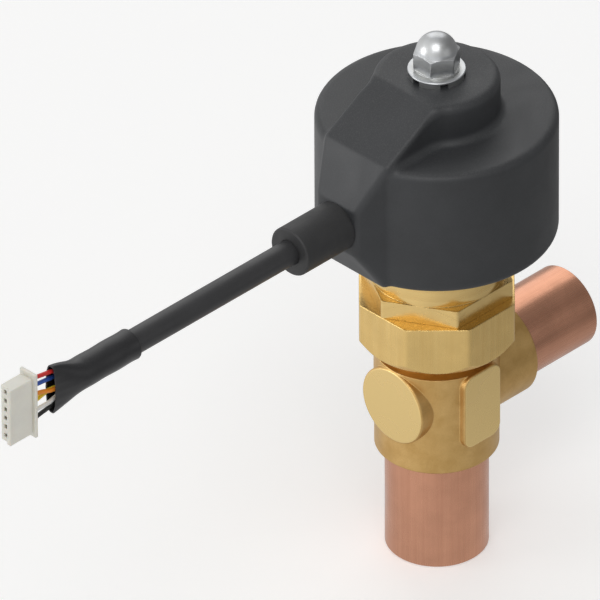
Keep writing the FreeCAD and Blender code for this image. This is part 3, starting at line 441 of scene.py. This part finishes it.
def keepMesh(obj, name, material):
    # the evaluated form as a plain mesh piece of its own
    graph = bpy.context.evaluated_depsgraph_get()
    mesh = bpy.data.meshes.new_from_object(obj.evaluated_get(graph), depsgraph=graph)
    mesh.name = name
    mesh.materials.clear()
    mesh.materials.append(material)
    piece = newObject(name, mesh)
    old = obj.data
    bpy.data.objects.remove(obj)
    (bpy.data.curves if isinstance(old, bpy.types.Curve) else bpy.data.meshes).remove(old)
    for polygon in mesh.polygons:
        polygon.use_smooth = True
    return piece


def meshObject(name, points, faces):
    mesh = bpy.data.meshes.new(name)
    mesh.from_pydata(points, [], faces)
    mesh.validate()
    return newObject(name, mesh)


def smoothCurve(name, points):
    # one open spline that runs smoothly near its points, given in millimetres
    curve = bpy.data.curves.new(name, "CURVE")
    curve.dimensions = "3D"
    spline = curve.splines.new("NURBS")
    spline.points.add(len(points) - 1)
    for point, place in zip(spline.points, points):
        point.co = (place[0] * mm, place[1] * mm, place[2] * mm, 1.0)
    spline.order_u = 3
    spline.use_endpoint_u = True
    spline.resolution_u = 12
    return newObject(name, curve)


# The lead's cable, straight as drawn from inside the collar to its wires
leadHeight = 109.3
cableLook = {"diameter": 6.4, "stations": (-40.0, -57.0, -74.5, -92.0, -109.2)}
cable = smoothCurve("motor_cable", [(x, 0, leadHeight) for x in cableLook["stations"]])
cable.data.bevel_depth = cableLook["diameter"] / 2 * mm
cable.data.bevel_resolution = 8
cable.data.use_fill_caps = True
cable.data.materials.append(finishes["cable_jacket"])
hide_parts("cable")
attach(cable, "valve")
print("cable made")


# Geometry trees start with named sizes and a finish, and end with nothing but real mesh

def startGeometry(name, sizes):
    tree = bpy.data.node_groups.new(name, "GeometryNodeTree")
    kinds = [("Geometry", "NodeSocketGeometry")] + [(size, "NodeSocketFloat") for size in sizes]
    for label, kind in kinds + [("Finish", "NodeSocketMaterial")]:
        tree.interface.new_socket(name=label, in_out="INPUT", socket_type=kind)
    tree.interface.new_socket(name="Geometry", in_out="OUTPUT", socket_type="NodeSocketGeometry")
    return tree, tree.nodes.new("NodeGroupInput").outputs


def endGeometry(tree, given, geometry):
    real = putNode(tree, "GeometryNodeRealizeInstances", {0: geometry})
    painted = putNode(tree, "GeometryNodeSetMaterial", {"Geometry": real.outputs[0], "Material": given["Finish"]})
    tree.links.new(painted.outputs[0], tree.nodes.new("NodeGroupOutput").inputs["Geometry"])
    return tree


def circle(tree, resolution, radius):
    return putNode(tree, "GeometryNodeCurvePrimitiveCircle", {"Resolution": resolution, "Radius": radius}).outputs[0]


def sweep(tree, path, profile, caps=True):
    sockets = {"Curve": path, "Profile Curve": profile, "Fill Caps": caps}
    return putNode(tree, "GeometryNodeCurveToMesh", sockets).outputs[0]


def lift(tree, geometry, height):
    up = putNode(tree, "ShaderNodeCombineXYZ", {2: height}).outputs[0]
    return putNode(tree, "GeometryNodeTransform", {"Geometry": geometry, "Translation": up}).outputs[0]


def setInputs(modifier, values):
    # a modifier's inputs go by the sockets' identifiers
    for item in modifier.node_group.interface.items_tree:
        if item.item_type == "SOCKET" and item.in_out == "INPUT" and item.name in values:
            modifier[item.identifier] = values[item.name]


# Wires: one tree sweeps a round section along a path

def sweepTree():
    tree, given = startGeometry("swept wire", ("Radius", "Station Gap"))
    even = putNode(tree, "GeometryNodeResampleCurve", {"Curve": given["Geometry"], "Length": given["Station Gap"]},
                   mode="LENGTH")
    return endGeometry(tree, given, sweep(tree, even.outputs[0], circle(tree, 20, given["Radius"])))


wireSweep = sweepTree()
lead = {"wires": 6, "wireRadius": 0.55, "bundleRadius": 1.9, "bundleDegrees": (90, 30, 150, 210, 330, 270),
        "mouthPitch": 2.05, "plugPitch": 2.5, "plugShift": 0.3, "cableEnd": -109.2, "spread": -121.0,
        "mouth": -130.4, "loose": -134.2, "guide": -137.2, "stop": -139.9, "stationGap": 0.25,
        # how each wire strays at the mouth and between mouth and plug, sideways and upwards
        "strayAtMouth": ((0.1, 0.05), (0.45, -0.1), (-0.5, -1.2), (0.5, 1.1), (-0.3, -0.1), (0.3, 0.1)),
        "strayLoose": ((-0.35, 0.1), (0.45, -0.25), (-0.6, 0.15), (0.6, -0.1), (-0.5, 0.3), (0.35, -0.15))}


def wirePoints(index):
    angle = math.radians(lead["bundleDegrees"][index])
    y = lead["bundleRadius"] * math.cos(angle)
    z = leadHeight + lead["bundleRadius"] * math.sin(angle)
    row = (lead["wires"] - 1) / 2 - index
    mouthZ = leadHeight + row * lead["mouthPitch"]
    plugZ = leadHeight + row * lead["plugPitch"]
    sideways, upwards = lead["strayAtMouth"][index]
    looseSideways, looseUpwards = lead["strayLoose"][index]
    return [
        (lead["cableEnd"], y, z), (lead["spread"], y, z),
        (lead["mouth"], sideways, mouthZ + upwards),
        (lead["loose"], lead["plugShift"] + looseSideways, (mouthZ + plugZ) / 2 + looseUpwards),
        (lead["guide"], lead["plugShift"], plugZ), (lead["stop"], lead["plugShift"], plugZ),
    ]


def sweptWire(name, points, material):
    path = smoothCurve(name + "_path", points)
    modifier = path.modifiers.new("sweep", "NODES")
    modifier.node_group = wireSweep
    setInputs(modifier, {"Radius": lead["wireRadius"] * mm, "Station Gap": lead["stationGap"] * mm,
                         "Finish": material})
    return keepMesh(path, name, material)


for index in range(lead["wires"]):
    name = "wire_%d" % (index + 1)
    wire = sweptWire("insulated_" + name, wirePoints(index), finishes[name])
    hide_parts(name)
    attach(wire, "valve")
print("wires made")


# Fan-out sleeve: a shrunk tube, round on the cable and pressed flat over the row of wires
sleeve = {"start": -104.2, "round": -121.0, "mouth": -130.8, "radius": 3.65, "mouthHeight": 13.2, "mouthWidth": 3.0,
          "wall": 0.4, "lip": 0.12, "stations": 64, "around": 72, "eased": 0.55, "squarer": 0.35, "sharper": 0.12,
          "ripple": 0.06, "ripples": 3, "wave": 0.05, "waves": 19, "grip": 0.06, "gripRate": 30}


def smoothStep(share):
    return share * share * (3 - 2 * share)


def sleeveRing(share):
    x = sleeve["start"] + (sleeve["mouth"] - sleeve["start"]) * share
    flat = min(1.0, max(0.0, (x - sleeve["round"]) / (sleeve["mouth"] - sleeve["round"])))
    ease = smoothStep(flat) * sleeve["eased"] + flat * (1 - sleeve["eased"])
    halfHeight = sleeve["radius"] + (sleeve["mouthHeight"] / 2 - sleeve["radius"]) * ease
    halfWidth = sleeve["radius"] + (sleeve["mouthWidth"] / 2 - sleeve["radius"]) * ease
    ring = []
    for step in range(sleeve["around"]):
        angle = 2 * math.pi * step / sleeve["around"]
        c, s = math.cos(angle), math.sin(angle)
        y = halfWidth * math.copysign(abs(c) ** (1 - sleeve["squarer"] * ease), c)
        z = halfHeight * math.copysign(abs(s) ** (1 + sleeve["sharper"] * ease), s)
        ripple = sleeve["ripple"] * ease * math.sin(2 * math.pi * sleeve["ripples"] * z / sleeve["mouthHeight"])
        shrink = sleeve["wave"] * math.sin(share * sleeve["waves"]) * (1 - ease)
        grip = sleeve["grip"] * (1 - math.exp(-share * sleeve["gripRate"]))
        inwards = 1 - (shrink + grip) / sleeve["radius"]
        ring.append((x * mm, (y * inwards - math.copysign(abs(ripple), y)) * mm, (leadHeight + z * inwards) * mm))
    return ring


def tubeFaces(rings, around, closed=False):
    # quads between neighbouring rings of points, and from the last ring to the first where the tube is closed
    faces = []
    for ring in range(rings if closed else rings - 1):
        here, there = ring * around, (ring + 1) % rings * around
        for step in range(around):
            ahead = (step + 1) % around
            faces.append((here + step, here + ahead, there + ahead, there + step))
    return faces


sleevePoints = []
for station in range(sleeve["stations"] + 1):
    sleevePoints += sleeveRing(station / sleeve["stations"])
sleeveTube = meshObject("sleeve_tube", sleevePoints, tubeFaces(sleeve["stations"] + 1, sleeve["around"]))
wall = sleeveTube.modifiers.new("wall", "SOLIDIFY")
wall.thickness = sleeve["wall"] * mm
wall.offset = -1
lip = sleeveTube.modifiers.new("lip", "BEVEL")
lip.width = sleeve["lip"] * mm
lip.segments = 2
lip.limit_method = "ANGLE"
sleevePiece = keepMesh(sleeveTube, "fan_out_sleeve", finishes["sleeve_plastic"])
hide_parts("cable_sleeve")
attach(sleevePiece, "valve")
print("sleeve made")


# Moulded housing: drum, hub and lead-out block as one field of distances, with true coves and rounded edges.
# The field is turned into quads cell by cell, and each corner is then drawn onto the surface.

housing = {
    "radius": 29.5, "bottom": 92.6, "top": 126.4, "edge": 1.9, "cove": 1.9,
    "hubRadius": 15.4, "lip": 1.9, "blend": 9.6,
    "half": 10.8, "taperFrom": 27.6, "taperRound": 4.0, "frontHalf": 6.7, "crease": 1.1, "lipEnds": (-16.0, -11.5),
    "side": ((40.0, 136.9), (-11.1, 136.9), (-27.6, 127.5), (-34.4, 115.7), (-34.4, 103.0), (-28.2, 92.6),
             (40.0, 92.6)),
    "bore": 13.3, "boreTop": 133.25, "studHole": 3.15, "room": 27.05, "roomBottom": 96.4, "roomTop": 124.4,
    "wall": 2.0, "boardHalf": 8.0, "boardTaper": 0.6, "boardBottom": 103.0, "boardTop": 115.7, "spigotHole": 4.45,
    "coveReach": 3, "trimDepth": 1.0, "leanMost": 0.95,
    "cell": 0.55, "low": (-35.2, -30.2, 91.9), "high": (30.2, 30.2, 137.6),
}


def roundMeet(a, b, radius, lean):
    # the overlap of two forms with their shared edge rounded; lean is the cosine between their normals
    u, v = a + radius, b + radius
    away = np.sqrt(np.maximum((u * u + v * v - 2 * u * v * lean) / (1 - lean * lean), 0)) - radius
    return np.where((u > lean * v) & (v > lean * u), away, np.maximum(a, b))


def roundJoin(a, b, radius, lean):
    # the union of two forms with a cove of this radius between them
    return -roundMeet(-a, -b, radius, lean)


def polygonField(points, x, z, radius):
    # distance to a convex outline whose corners are rounded: inset by the radius, then grown again
    inset = []
    count = len(points)
    normals = []
    for index in range(count):
        (x0, z0), (x1, z1) = points[index], points[(index + 1) % count]
        length = math.hypot(x1 - x0, z1 - z0)
        normals.append(((z1 - z0) / length, (x0 - x1) / length))
    for index in range(count):
        before, after = normals[index - 1], normals[index]
        turn = 1 + before[0] * after[0] + before[1] * after[1]
        inset.append((points[index][0] - radius * (before[0] + after[0]) / turn,
                      points[index][1] - radius * (before[1] + after[1]) / turn))
    outside = np.full(x.shape, 1e9)
    inside = np.full(x.shape, -1e9)
    for index in range(count):
        (x0, z0), (x1, z1) = inset[index], inset[(index + 1) % count]
        runX, runZ = x1 - x0, z1 - z0
        share = np.clip(((x - x0) * runX + (z - z0) * runZ) / (runX * runX + runZ * runZ), 0, 1)
        outside = np.minimum(outside, np.hypot(x - x0 - share * runX, z - z0 - share * runZ))
        inside = np.maximum(inside, (x - x0) * normals[index][0] + (z - z0) * normals[index][1])
    return np.where(inside > 0, outside, inside) - radius


def planField(x, y):
    # hub and block seen from above: a round hub, concave blends, straight walls and a tapered front
    look = housing
    y = np.abs(y)
    hub = np.hypot(x, y) - look["hubRadius"]
    runX, runY = look["side"][3][0] + look["taperFrom"], look["frontHalf"] - look["half"]
    length = math.hypot(runX, runY)
    leanX, leanY = runY / length, -runX / length
    wall = y - look["half"]
    taper = (x + look["taperFrom"]) * leanX + (y - look["half"]) * leanY
    block = np.maximum(roundMeet(wall, taper, look["taperRound"], leanY), x)
    centreY = look["half"] + look["blend"]
    centreX = -math.sqrt((look["hubRadius"] + look["blend"]) ** 2 - centreY ** 2)
    besideWall = x > centreX
    besideHub = x * centreY - y * centreX < 0
    blend = look["blend"] - np.hypot(x - centreX, y - centreY)
    return np.where(besideWall & besideHub & (y < centreY), blend, np.minimum(hub, block))


def drumField(place):
    look = housing
    x, y, z = place
    side = np.hypot(x, y) - look["radius"]
    ends = np.maximum(look["bottom"] - z, z - look["top"])
    return roundMeet(side, ends, look["edge"], 0.0)


def blockField(place):
    look = housing
    x, y, z = place
    plan = planField(x, y)
    side = polygonField(look["side"], x, z, look["crease"])
    low, high = look["lipEnds"]
    share = np.clip((x - low) / (high - low), 0, 1)
    radius = look["crease"] + (look["lip"] - look["crease"]) * smoothStep(share)
    return roundMeet(plan, side, radius, 0.0)


def roomField(place):
    # what is open inside: the can's bore, the stud's hole, the winding's room, the board's room and the spigot's hole
    look = housing
    x, y, z = place
    radius = np.hypot(x, y)
    front = -look["side"][3][0]
    bore = np.maximum(radius - look["bore"], z - look["boreTop"])
    stud = radius - look["studHole"]
    room = np.maximum(radius - look["room"], np.maximum(look["roomBottom"] - z, z - look["roomTop"]))
    narrower = np.minimum(0, x + look["taperFrom"] + look["wall"]) * look["boardTaper"]
    board = np.maximum(np.abs(y) - look["boardHalf"] - narrower,
                       np.maximum(look["boardBottom"] - z, z - look["boardTop"]))
    board = np.maximum(board, np.maximum(-front + look["wall"] - x, x + look["room"] - look["wall"]))
    spigot = np.maximum(np.hypot(y, z - leadHeight) - look["spigotHole"], x + front - 2 * look["wall"])
    every = bore
    for form in (stud, room, board, spigot):
        every = np.minimum(every, form)
    return every


def slopeOf(field, place, step=0.02):
    parts = []
    for axis in range(3):
        ahead = [p + (step if axis == index else 0) for index, p in enumerate(place)]
        back = [p - (step if axis == index else 0) for index, p in enumerate(place)]
        parts.append((field(ahead) - field(back)) / (2 * step))
    return parts


def housingField(place):
    look = housing
    drum, block = drumField(place), blockField(place)
    near = np.maximum(np.abs(drum), np.abs(block)) < look["coveReach"] * look["cove"]
    joined = np.minimum(drum, block)
    # inside the block's walls its own slopes trim the drum's rim
    inside = planField(place[0], place[1]) < -look["trimDepth"]
    joined[inside] = block[inside]
    near &= ~inside
    close = [p[near] for p in place]
    first, second = slopeOf(drumField, close), slopeOf(blockField, close)
    lean = np.clip(sum(a * b for a, b in zip(first, second)), -look["leanMost"], look["leanMost"])
    joined[near] = roundJoin(drum[near], block[near], look["cove"], lean)
    return np.maximum(joined, -roomField(place))


def fieldMesh(name, field, low, high, cell):
    # one corner for each cell that the surface passes through, drawn onto it in a few pulls, and one quad for each
    # grid edge that it crosses
    sizes = [int(math.ceil((b - a) / cell)) + 1 for a, b in zip(low, high)]
    axes = [a + cell * np.arange(size) for a, size in zip(low, sizes)]
    grid = np.meshgrid(*axes, indexing="ij")
    values = field(grid)
    solid = values < 0
    corners = [(i, j, k) for i in (0, 1) for j in (0, 1) for k in (0, 1)]
    part = lambda array, i, j, k: array[i:sizes[0] - 1 + i, j:sizes[1] - 1 + j, k:sizes[2] - 1 + k]
    count = sum(part(solid, *corner).astype(int) for corner in corners)
    mixed = (count > 0) & (count < 8)
    numbers = np.full(mixed.shape, -1)
    numbers[mixed] = np.arange(mixed.sum())
    total = np.zeros((mixed.sum(), 3))
    crossings = np.zeros(mixed.sum())
    for first in corners:
        for axis in range(3):
            if first[axis]:
                continue
            second = tuple(1 if index == axis else f for index, f in enumerate(first))
            a, b = part(values, *first)[mixed], part(values, *second)[mixed]
            crossed = (a < 0) != (b < 0)
            share = np.where(crossed, a / np.where(crossed, a - b, 1), 0)
            for index in range(3):
                total[:, index] += np.where(crossed, first[index] + (share if index == axis else 0), 0)
            crossings += crossed
    base = np.argwhere(mixed)
    places = (base + total / crossings[:, None]) * cell + np.array(low)
    pulls, leastSlope, longestPull = 4, 0.3, cell / 3
    for _ in range(pulls):
        spots = [places[:, index] for index in range(3)]
        slope = np.stack(slopeOf(field, spots), axis=1)
        size = np.maximum((slope * slope).sum(axis=1), leastSlope)
        places = places - np.clip(field(spots) / size, -longestPull, longestPull)[:, None] * slope
    quads = []
    for axis in range(3):
        a, b = (axis + 1) % 3, (axis + 2) % 3
        start = [slice(1, sizes[index] - 1) for index in range(3)]
        start[axis] = slice(0, sizes[axis] - 1)
        ahead = list(start)
        ahead[axis] = slice(1, sizes[axis])
        here, there = solid[tuple(start)], solid[tuple(ahead)]
        for wanted, flip in ((here & ~there, False), (~here & there, True)):
            found = np.argwhere(wanted)
            for index in range(3):
                found[:, index] += start[index].start
            rounds = []
            for da, db in ((0, 0), (1, 0), (1, 1), (0, 1)):
                cellAt = found.copy()
                cellAt[:, a] -= da
                cellAt[:, b] -= db
                rounds.append(numbers[cellAt[:, 0], cellAt[:, 1], cellAt[:, 2]])
            quad = np.stack(rounds, axis=1)
            quads.append(quad[:, ::-1] if flip else quad)
    faces = np.concatenate(quads)
    return meshObject(name, (places * mm).tolist(), faces.tolist())


print("housing field starts")
housingRaw = fieldMesh("housing_raw", housingField, housing["low"], housing["high"], housing["cell"])
housingPiece = keepMesh(housingRaw, "moulded_housing", finishes["housing_moulding"])
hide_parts("stator_housing")
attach(housingPiece, "valve")
print("housing made", len(housingPiece.data.polygons))


# Six-way plug: block, flange, a rib beside its recessed face, and a crimped contact in each cavity

plug = {
    "flange": (-138.6, -137.7), "flangeWidth": 5.3, "flangeHeight": 18.1, "flangeEdge": 0.2,
    "block": (-146.3, -139.0), "width": 3.9, "height": 15.9, "edge": 0.25, "groove": 0.4,
    "face": -145.5, "ribTo": -0.75, "cavity": 1.8, "mouthWide": 1.35, "mouthHigh": 1.2, "mouthDeep": 0.6,
    "wireHole": 0.7, "contact": (-144.6, -141.0), "contactSize": 1.68, "contactWall": 0.25, "barrel": 0.55,
    "cell": 0.16, "contactCell": 0.13,
}
farOff = 200.0


def boxField(place, low, high, radius=0.0):
    terms = [np.abs(p - (a + b) / 2) - ((b - a) / 2 - radius) for p, a, b in zip(place, low, high)]
    outside = np.sqrt(sum(np.maximum(term, 0) ** 2 for term in terms))
    inside = np.maximum(np.maximum(terms[0], terms[1]), terms[2])
    return outside + np.minimum(inside, 0) - radius


def beamField(place, ends, width, height, radius=0.0):
    return boxField(place, (ends[0], -width / 2, -height / 2), (ends[1], width / 2, height / 2), radius)


def atNearestRow(place):
    # place seen from the middle of the nearest cavity
    x, y, z = place
    half = lead["wires"] // 2
    steps = (z - leadHeight) / lead["plugPitch"]
    row = np.clip(np.floor(steps), -half, half - 1) + 0.5
    return [x, y - lead["plugShift"], (steps - row) * lead["plugPitch"]]


def plugField(place):
    look = plug
    centred = [place[0], place[1], place[2] - leadHeight]
    flange = beamField(centred, look["flange"], look["flangeWidth"], look["flangeHeight"], look["flangeEdge"])
    block = beamField(centred, look["block"], look["width"], look["height"], look["edge"])
    neck = beamField(centred, (look["block"][1] - 1, look["flange"][0] + look["flangeEdge"]),
                     look["width"] - 2 * look["groove"], look["height"] - 2 * look["groove"])
    whole = np.minimum(np.minimum(flange, block), neck)
    recess = boxField(centred, (-farOff, look["ribTo"], -farOff), (look["face"], farOff, farOff))
    local = atNearestRow(place)
    cavity = beamField(local, (look["face"] + look["mouthDeep"], lead["stop"]), look["cavity"], look["cavity"])
    mouth = beamField(local, (-farOff, lead["stop"] - 1), look["mouthWide"], look["mouthHigh"])
    hole = np.maximum(np.hypot(local[1], local[2]) - look["wireHole"], lead["stop"] - 1 - place[0])
    cuts = np.minimum(np.minimum(recess, cavity), np.minimum(mouth, hole))
    return np.maximum(whole, -cuts)


def contactField(place):
    look = plug
    local = atNearestRow(place)
    start, end = look["contact"]
    size, wall = look["contactSize"], look["contactWall"]
    shell = beamField(local, (start, end), size, size, wall / 2)
    hollow = beamField(local, (start - 1, end - wall), size - 2 * wall, size - 2 * wall)
    barrel = np.maximum(np.hypot(local[1], local[2]) - look["barrel"],
                        np.maximum(end - wall - place[0], place[0] - lead["stop"]))
    return np.minimum(np.maximum(shell, -hollow), barrel)


plugPieces = {
    "six_way_plug": {"replaces": "plug_housing", "slot": "plug_plastic", "field": plugField, "cell": plug["cell"],
                     "low": (-146.8, -3.1, 99.8), "high": (-137.2, 3.1, 118.8)},
    "crimped_contacts": {"replaces": "plug_contacts", "slot": "tinned_contact", "field": contactField,
                         "cell": plug["contactCell"], "low": (-145.0, -0.9, 101.7), "high": (-139.5, 1.5, 116.9)},
}
for name, look in plugPieces.items():
    raw = fieldMesh(name + "_raw", look["field"], look["low"], look["high"], look["cell"])
    piece = keepMesh(raw, name, finishes[look["slot"]])
    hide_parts(look["replaces"])
    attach(piece, "valve")
    print("made", name, len(piece.data.polygons))


# Windings inside the housing: one layer of wire wound over a solid core, from one tree with named inputs

windings = {
    "lower_winding": {"replaces": "lower_coil", "bottom": 98.6},
    "upper_winding": {"replaces": "upper_coil", "bottom": 112.6},
}
windingLayer = {"Outer Radius": 24.4, "Inner Radius": 15.65, "Height": 9.6, "Wire": 0.3}


def windingTree():
    tree, given = startGeometry("wound layer", ("Outer Radius", "Inner Radius", "Height", "Wire", "Bottom"))
    wire = given["Wire"]
    wireRadius = times(tree, wire, 0.5)
    lineRadius = maths(tree, "SUBTRACT", given["Outer Radius"], wireRadius)
    rise = maths(tree, "SUBTRACT", given["Height"], wire)
    turns = maths(tree, "DIVIDE", rise, wire)
    spiral = putNode(tree, "GeometryNodeCurveSpiral", {"Resolution": 36, "Rotations": turns, "Start Radius": lineRadius,
                                                       "End Radius": lineRadius, "Height": rise})
    strand = sweep(tree, spiral.outputs[0], circle(tree, 6, wireRadius))
    strandUp = lift(tree, strand, plus(tree, given["Bottom"], wireRadius))
    coreWidth = maths(tree, "SUBTRACT", lineRadius, given["Inner Radius"])
    coreMiddle = times(tree, plus(tree, lineRadius, given["Inner Radius"]), 0.5)
    section = putNode(tree, "GeometryNodeCurvePrimitiveQuadrilateral", {"Width": coreWidth, "Height": given["Height"]})
    core = sweep(tree, circle(tree, 96, coreMiddle), section.outputs[0], caps=False)
    coreUp = lift(tree, core, plus(tree, given["Bottom"], times(tree, given["Height"], 0.5)))
    both = tree.nodes.new("GeometryNodeJoinGeometry")
    tree.links.new(strandUp, both.inputs[0])
    tree.links.new(coreUp, both.inputs[0])
    return endGeometry(tree, given, both.outputs[0])


woundLayer = windingTree()
for name, look in windings.items():
    holder = meshObject(name + "_raw", [(0, 0, 0)], [])
    modifier = holder.modifiers.new("winding", "NODES")
    modifier.node_group = woundLayer
    values = {label: value * mm for label, value in windingLayer.items()}
    setInputs(modifier, dict(values, Bottom=look["bottom"] * mm, Finish=finishes["winding"]))
    winding = keepMesh(holder, name, finishes["winding"])
    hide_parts(look["replaces"])
    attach(winding, "valve")
print("windings made")


# Braze fillets where the copper stubs enter the brass

brazes = {
    "braze_lower": {"axis": "Z", "radius": 12.7, "face": 29.4, "away": -1, "centre": (0, 0), "leg": 0.8, "seed": 3},
    "braze_side": {"axis": "X", "radius": 10.52, "face": 22.2, "away": 1, "centre": (0, 46.8), "leg": 0.9, "seed": 5},
}


def brazeRing(name, look):
    draw = random.Random(look["seed"])
    waves = [(count, draw.uniform(0, 2 * math.pi), draw.uniform(0.04, 0.1)) for count in (2, 3, 5, 9)]
    around, across, overlap = 160, 8, 0.05
    points = []
    for step in range(around):
        angle = 2 * math.pi * step / around
        leg = look["leg"] * (1 + sum(depth * math.sin(count * angle + phase) for count, phase, depth in waves))
        for place in range(across + 1):
            bend = math.pi / 2 * place / across
            out = look["radius"] - overlap + leg * (1 - math.sin(bend))
            off = look["face"] + look["away"] * (leg * (1 - math.cos(bend)) - overlap)
            points.append(brazePoint(look, out, angle, off))
        points.append(brazePoint(look, look["radius"] - overlap, angle, look["face"] - look["away"] * overlap))
    return meshObject(name + "_raw", points, tubeFaces(around, across + 2, closed=True))


def brazePoint(look, out, angle, off):
    a, b = out * math.cos(angle), out * math.sin(angle)
    if look["axis"] == "Z":
        return ((look["centre"][0] + a) * mm, (look["centre"][1] + b) * mm, off * mm)
    return (off * mm, (look["centre"][0] + a) * mm, (look["centre"][1] + b) * mm)


def outwards(obj):
    form = bmesh.new()
    form.from_mesh(obj.data)
    bmesh.ops.remove_doubles(form, verts=form.verts, dist=1e-7)
    bmesh.ops.recalc_face_normals(form, faces=form.faces)
    form.to_mesh(obj.data)
    form.free()


brazeFinish = forgedBrass("braze filler", dict(forgedLook, skin=(0.8, 0.62, 0.4), skinDark=(0.66, 0.44, 0.28),
                                               skinSize=0.5, depth=0.02, roughLow=0.26, roughHigh=0.4))
for name, look in brazes.items():
    ring = brazeRing(name, look)
    outwards(ring)
    piece = keepMesh(ring, name, brazeFinish)
    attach(piece, "valve")
print("brazes made")


# Floor, world and lights

stage = {"floor": (0.9, 0.9, 0.895), "floorSize": 6.0, "floorLift": 0.27, "world": 0.42, "aim": (-0.04, 0, 0.08),
         "leftWay": (-0.9, 0.45, 0.0), "mirrorDark": 0.25, "mirrorLight": 1.0, "mirrorReach": 0.22}
lamps = {
    "key": {"place": (-0.45, -0.35, 1.0), "size": 0.6, "power": 3.0},
    "fill": {"place": (0.25, -0.9, 0.35), "size": 0.6, "power": 0.4},
    "sheen": {"place": (0.62, 0.62, 0.66), "size": 0.9, "power": 2.2},
    "rim": {"place": (-0.85, 0.62, 0.33), "size": 0.5, "power": 1.9},
}


def makeFloor():
    # the camera sees it nearly white; for glossy rays it glows with painted light, lighter to the left than to the
    # right, so metal shows a painted reflection of it
    half = stage["floorSize"] / 2
    corners = [(-half, -half, 0), (half, -half, 0), (half, half, 0), (-half, half, 0)]
    floor = meshObject("floor", corners, [(0, 1, 2, 3)])
    material, tree, shader = startFinish("pale floor")
    place = putNode(tree, "ShaderNodeTexCoord").outputs["Object"]
    noise = noiseAt(tree, place, 2.0, scale=900.0)
    tone = mixTone(tree, fromNoise(tree, noise), shade(stage["floor"], 0.985), shade(stage["floor"]))
    tree.links.new(tone, shader.inputs["Base Color"])
    shader.inputs["Roughness"].default_value = 0.9
    shader.inputs["Specular IOR Level"].default_value = 0.1
    shader.inputs["Emission Color"].default_value = (1, 1, 1, 1)
    light = putNode(tree, "ShaderNodeLightPath").outputs
    tree.links.new(times(tree, light["Is Camera Ray"], stage["floorLift"]), shader.inputs["Emission Strength"])
    # painted light for reflections only: an emission gradient along leftWay, from mirrorDark to mirrorLight
    reach = stage["mirrorReach"]
    along = alongWay(tree, place, stage["leftWay"])
    paintedReflectionGlow = mapTo(tree, along, -reach, reach, stage["mirrorDark"], stage["mirrorLight"])
    paintedReflection = putNode(tree, "ShaderNodeEmission", {"Color": (1, 1, 1, 1), "Strength": paintedReflectionGlow})
    mixed = putNode(tree, "ShaderNodeMixShader", {0: light["Is Glossy Ray"], 1: shader.outputs[0],
                                                  2: paintedReflection.outputs[0]})
    tree.links.new(mixed.outputs[0], tree.nodes["Material Output"].inputs["Surface"])
    floor.data.materials.append(material)


def makeWorld():
    # white behind everything; the even light on the part is dimmer, so that it keeps its shape
    world = bpy.data.worlds.new("studio")
    world.use_nodes = True
    bpy.context.scene.world = world
    tree = world.node_tree
    light = putNode(tree, "ShaderNodeLightPath").outputs
    towards = putNode(tree, "ShaderNodeTexCoord").outputs["Generated"]
    gloss = mapTo(tree, alongWay(tree, towards, stage["leftWay"]), -0.7, 0.7, stage["mirrorDark"], 1.0)
    even = mapTo(tree, light["Is Glossy Ray"], 0.0, 1.0, stage["world"], gloss)
    clear = maths(tree, "MAXIMUM", light["Is Camera Ray"], light["Is Transmission Ray"])
    background = tree.nodes["Background"]
    background.inputs["Color"].default_value = (1, 1, 1, 1)
    tree.links.new(mapTo(tree, clear, 0.0, 1.0, even, 1.0), background.inputs["Strength"])


def areaLight(name, look):
    data = bpy.data.lights.new(name, "AREA")
    data.size = look["size"]
    data.energy = look["power"]
    aim = Vector(stage["aim"]) - Vector(look["place"])
    turned = aim.to_track_quat("-Z", "Y").to_matrix().to_4x4()
    newObject(name, data).matrix_world = Matrix.Translation(look["place"]) @ turned


makeFloor()
makeWorld()
for name, look in lamps.items():
    areaLight(name, look)
bpy.context.scene.view_settings.view_transform = "Standard"
print("stage made")
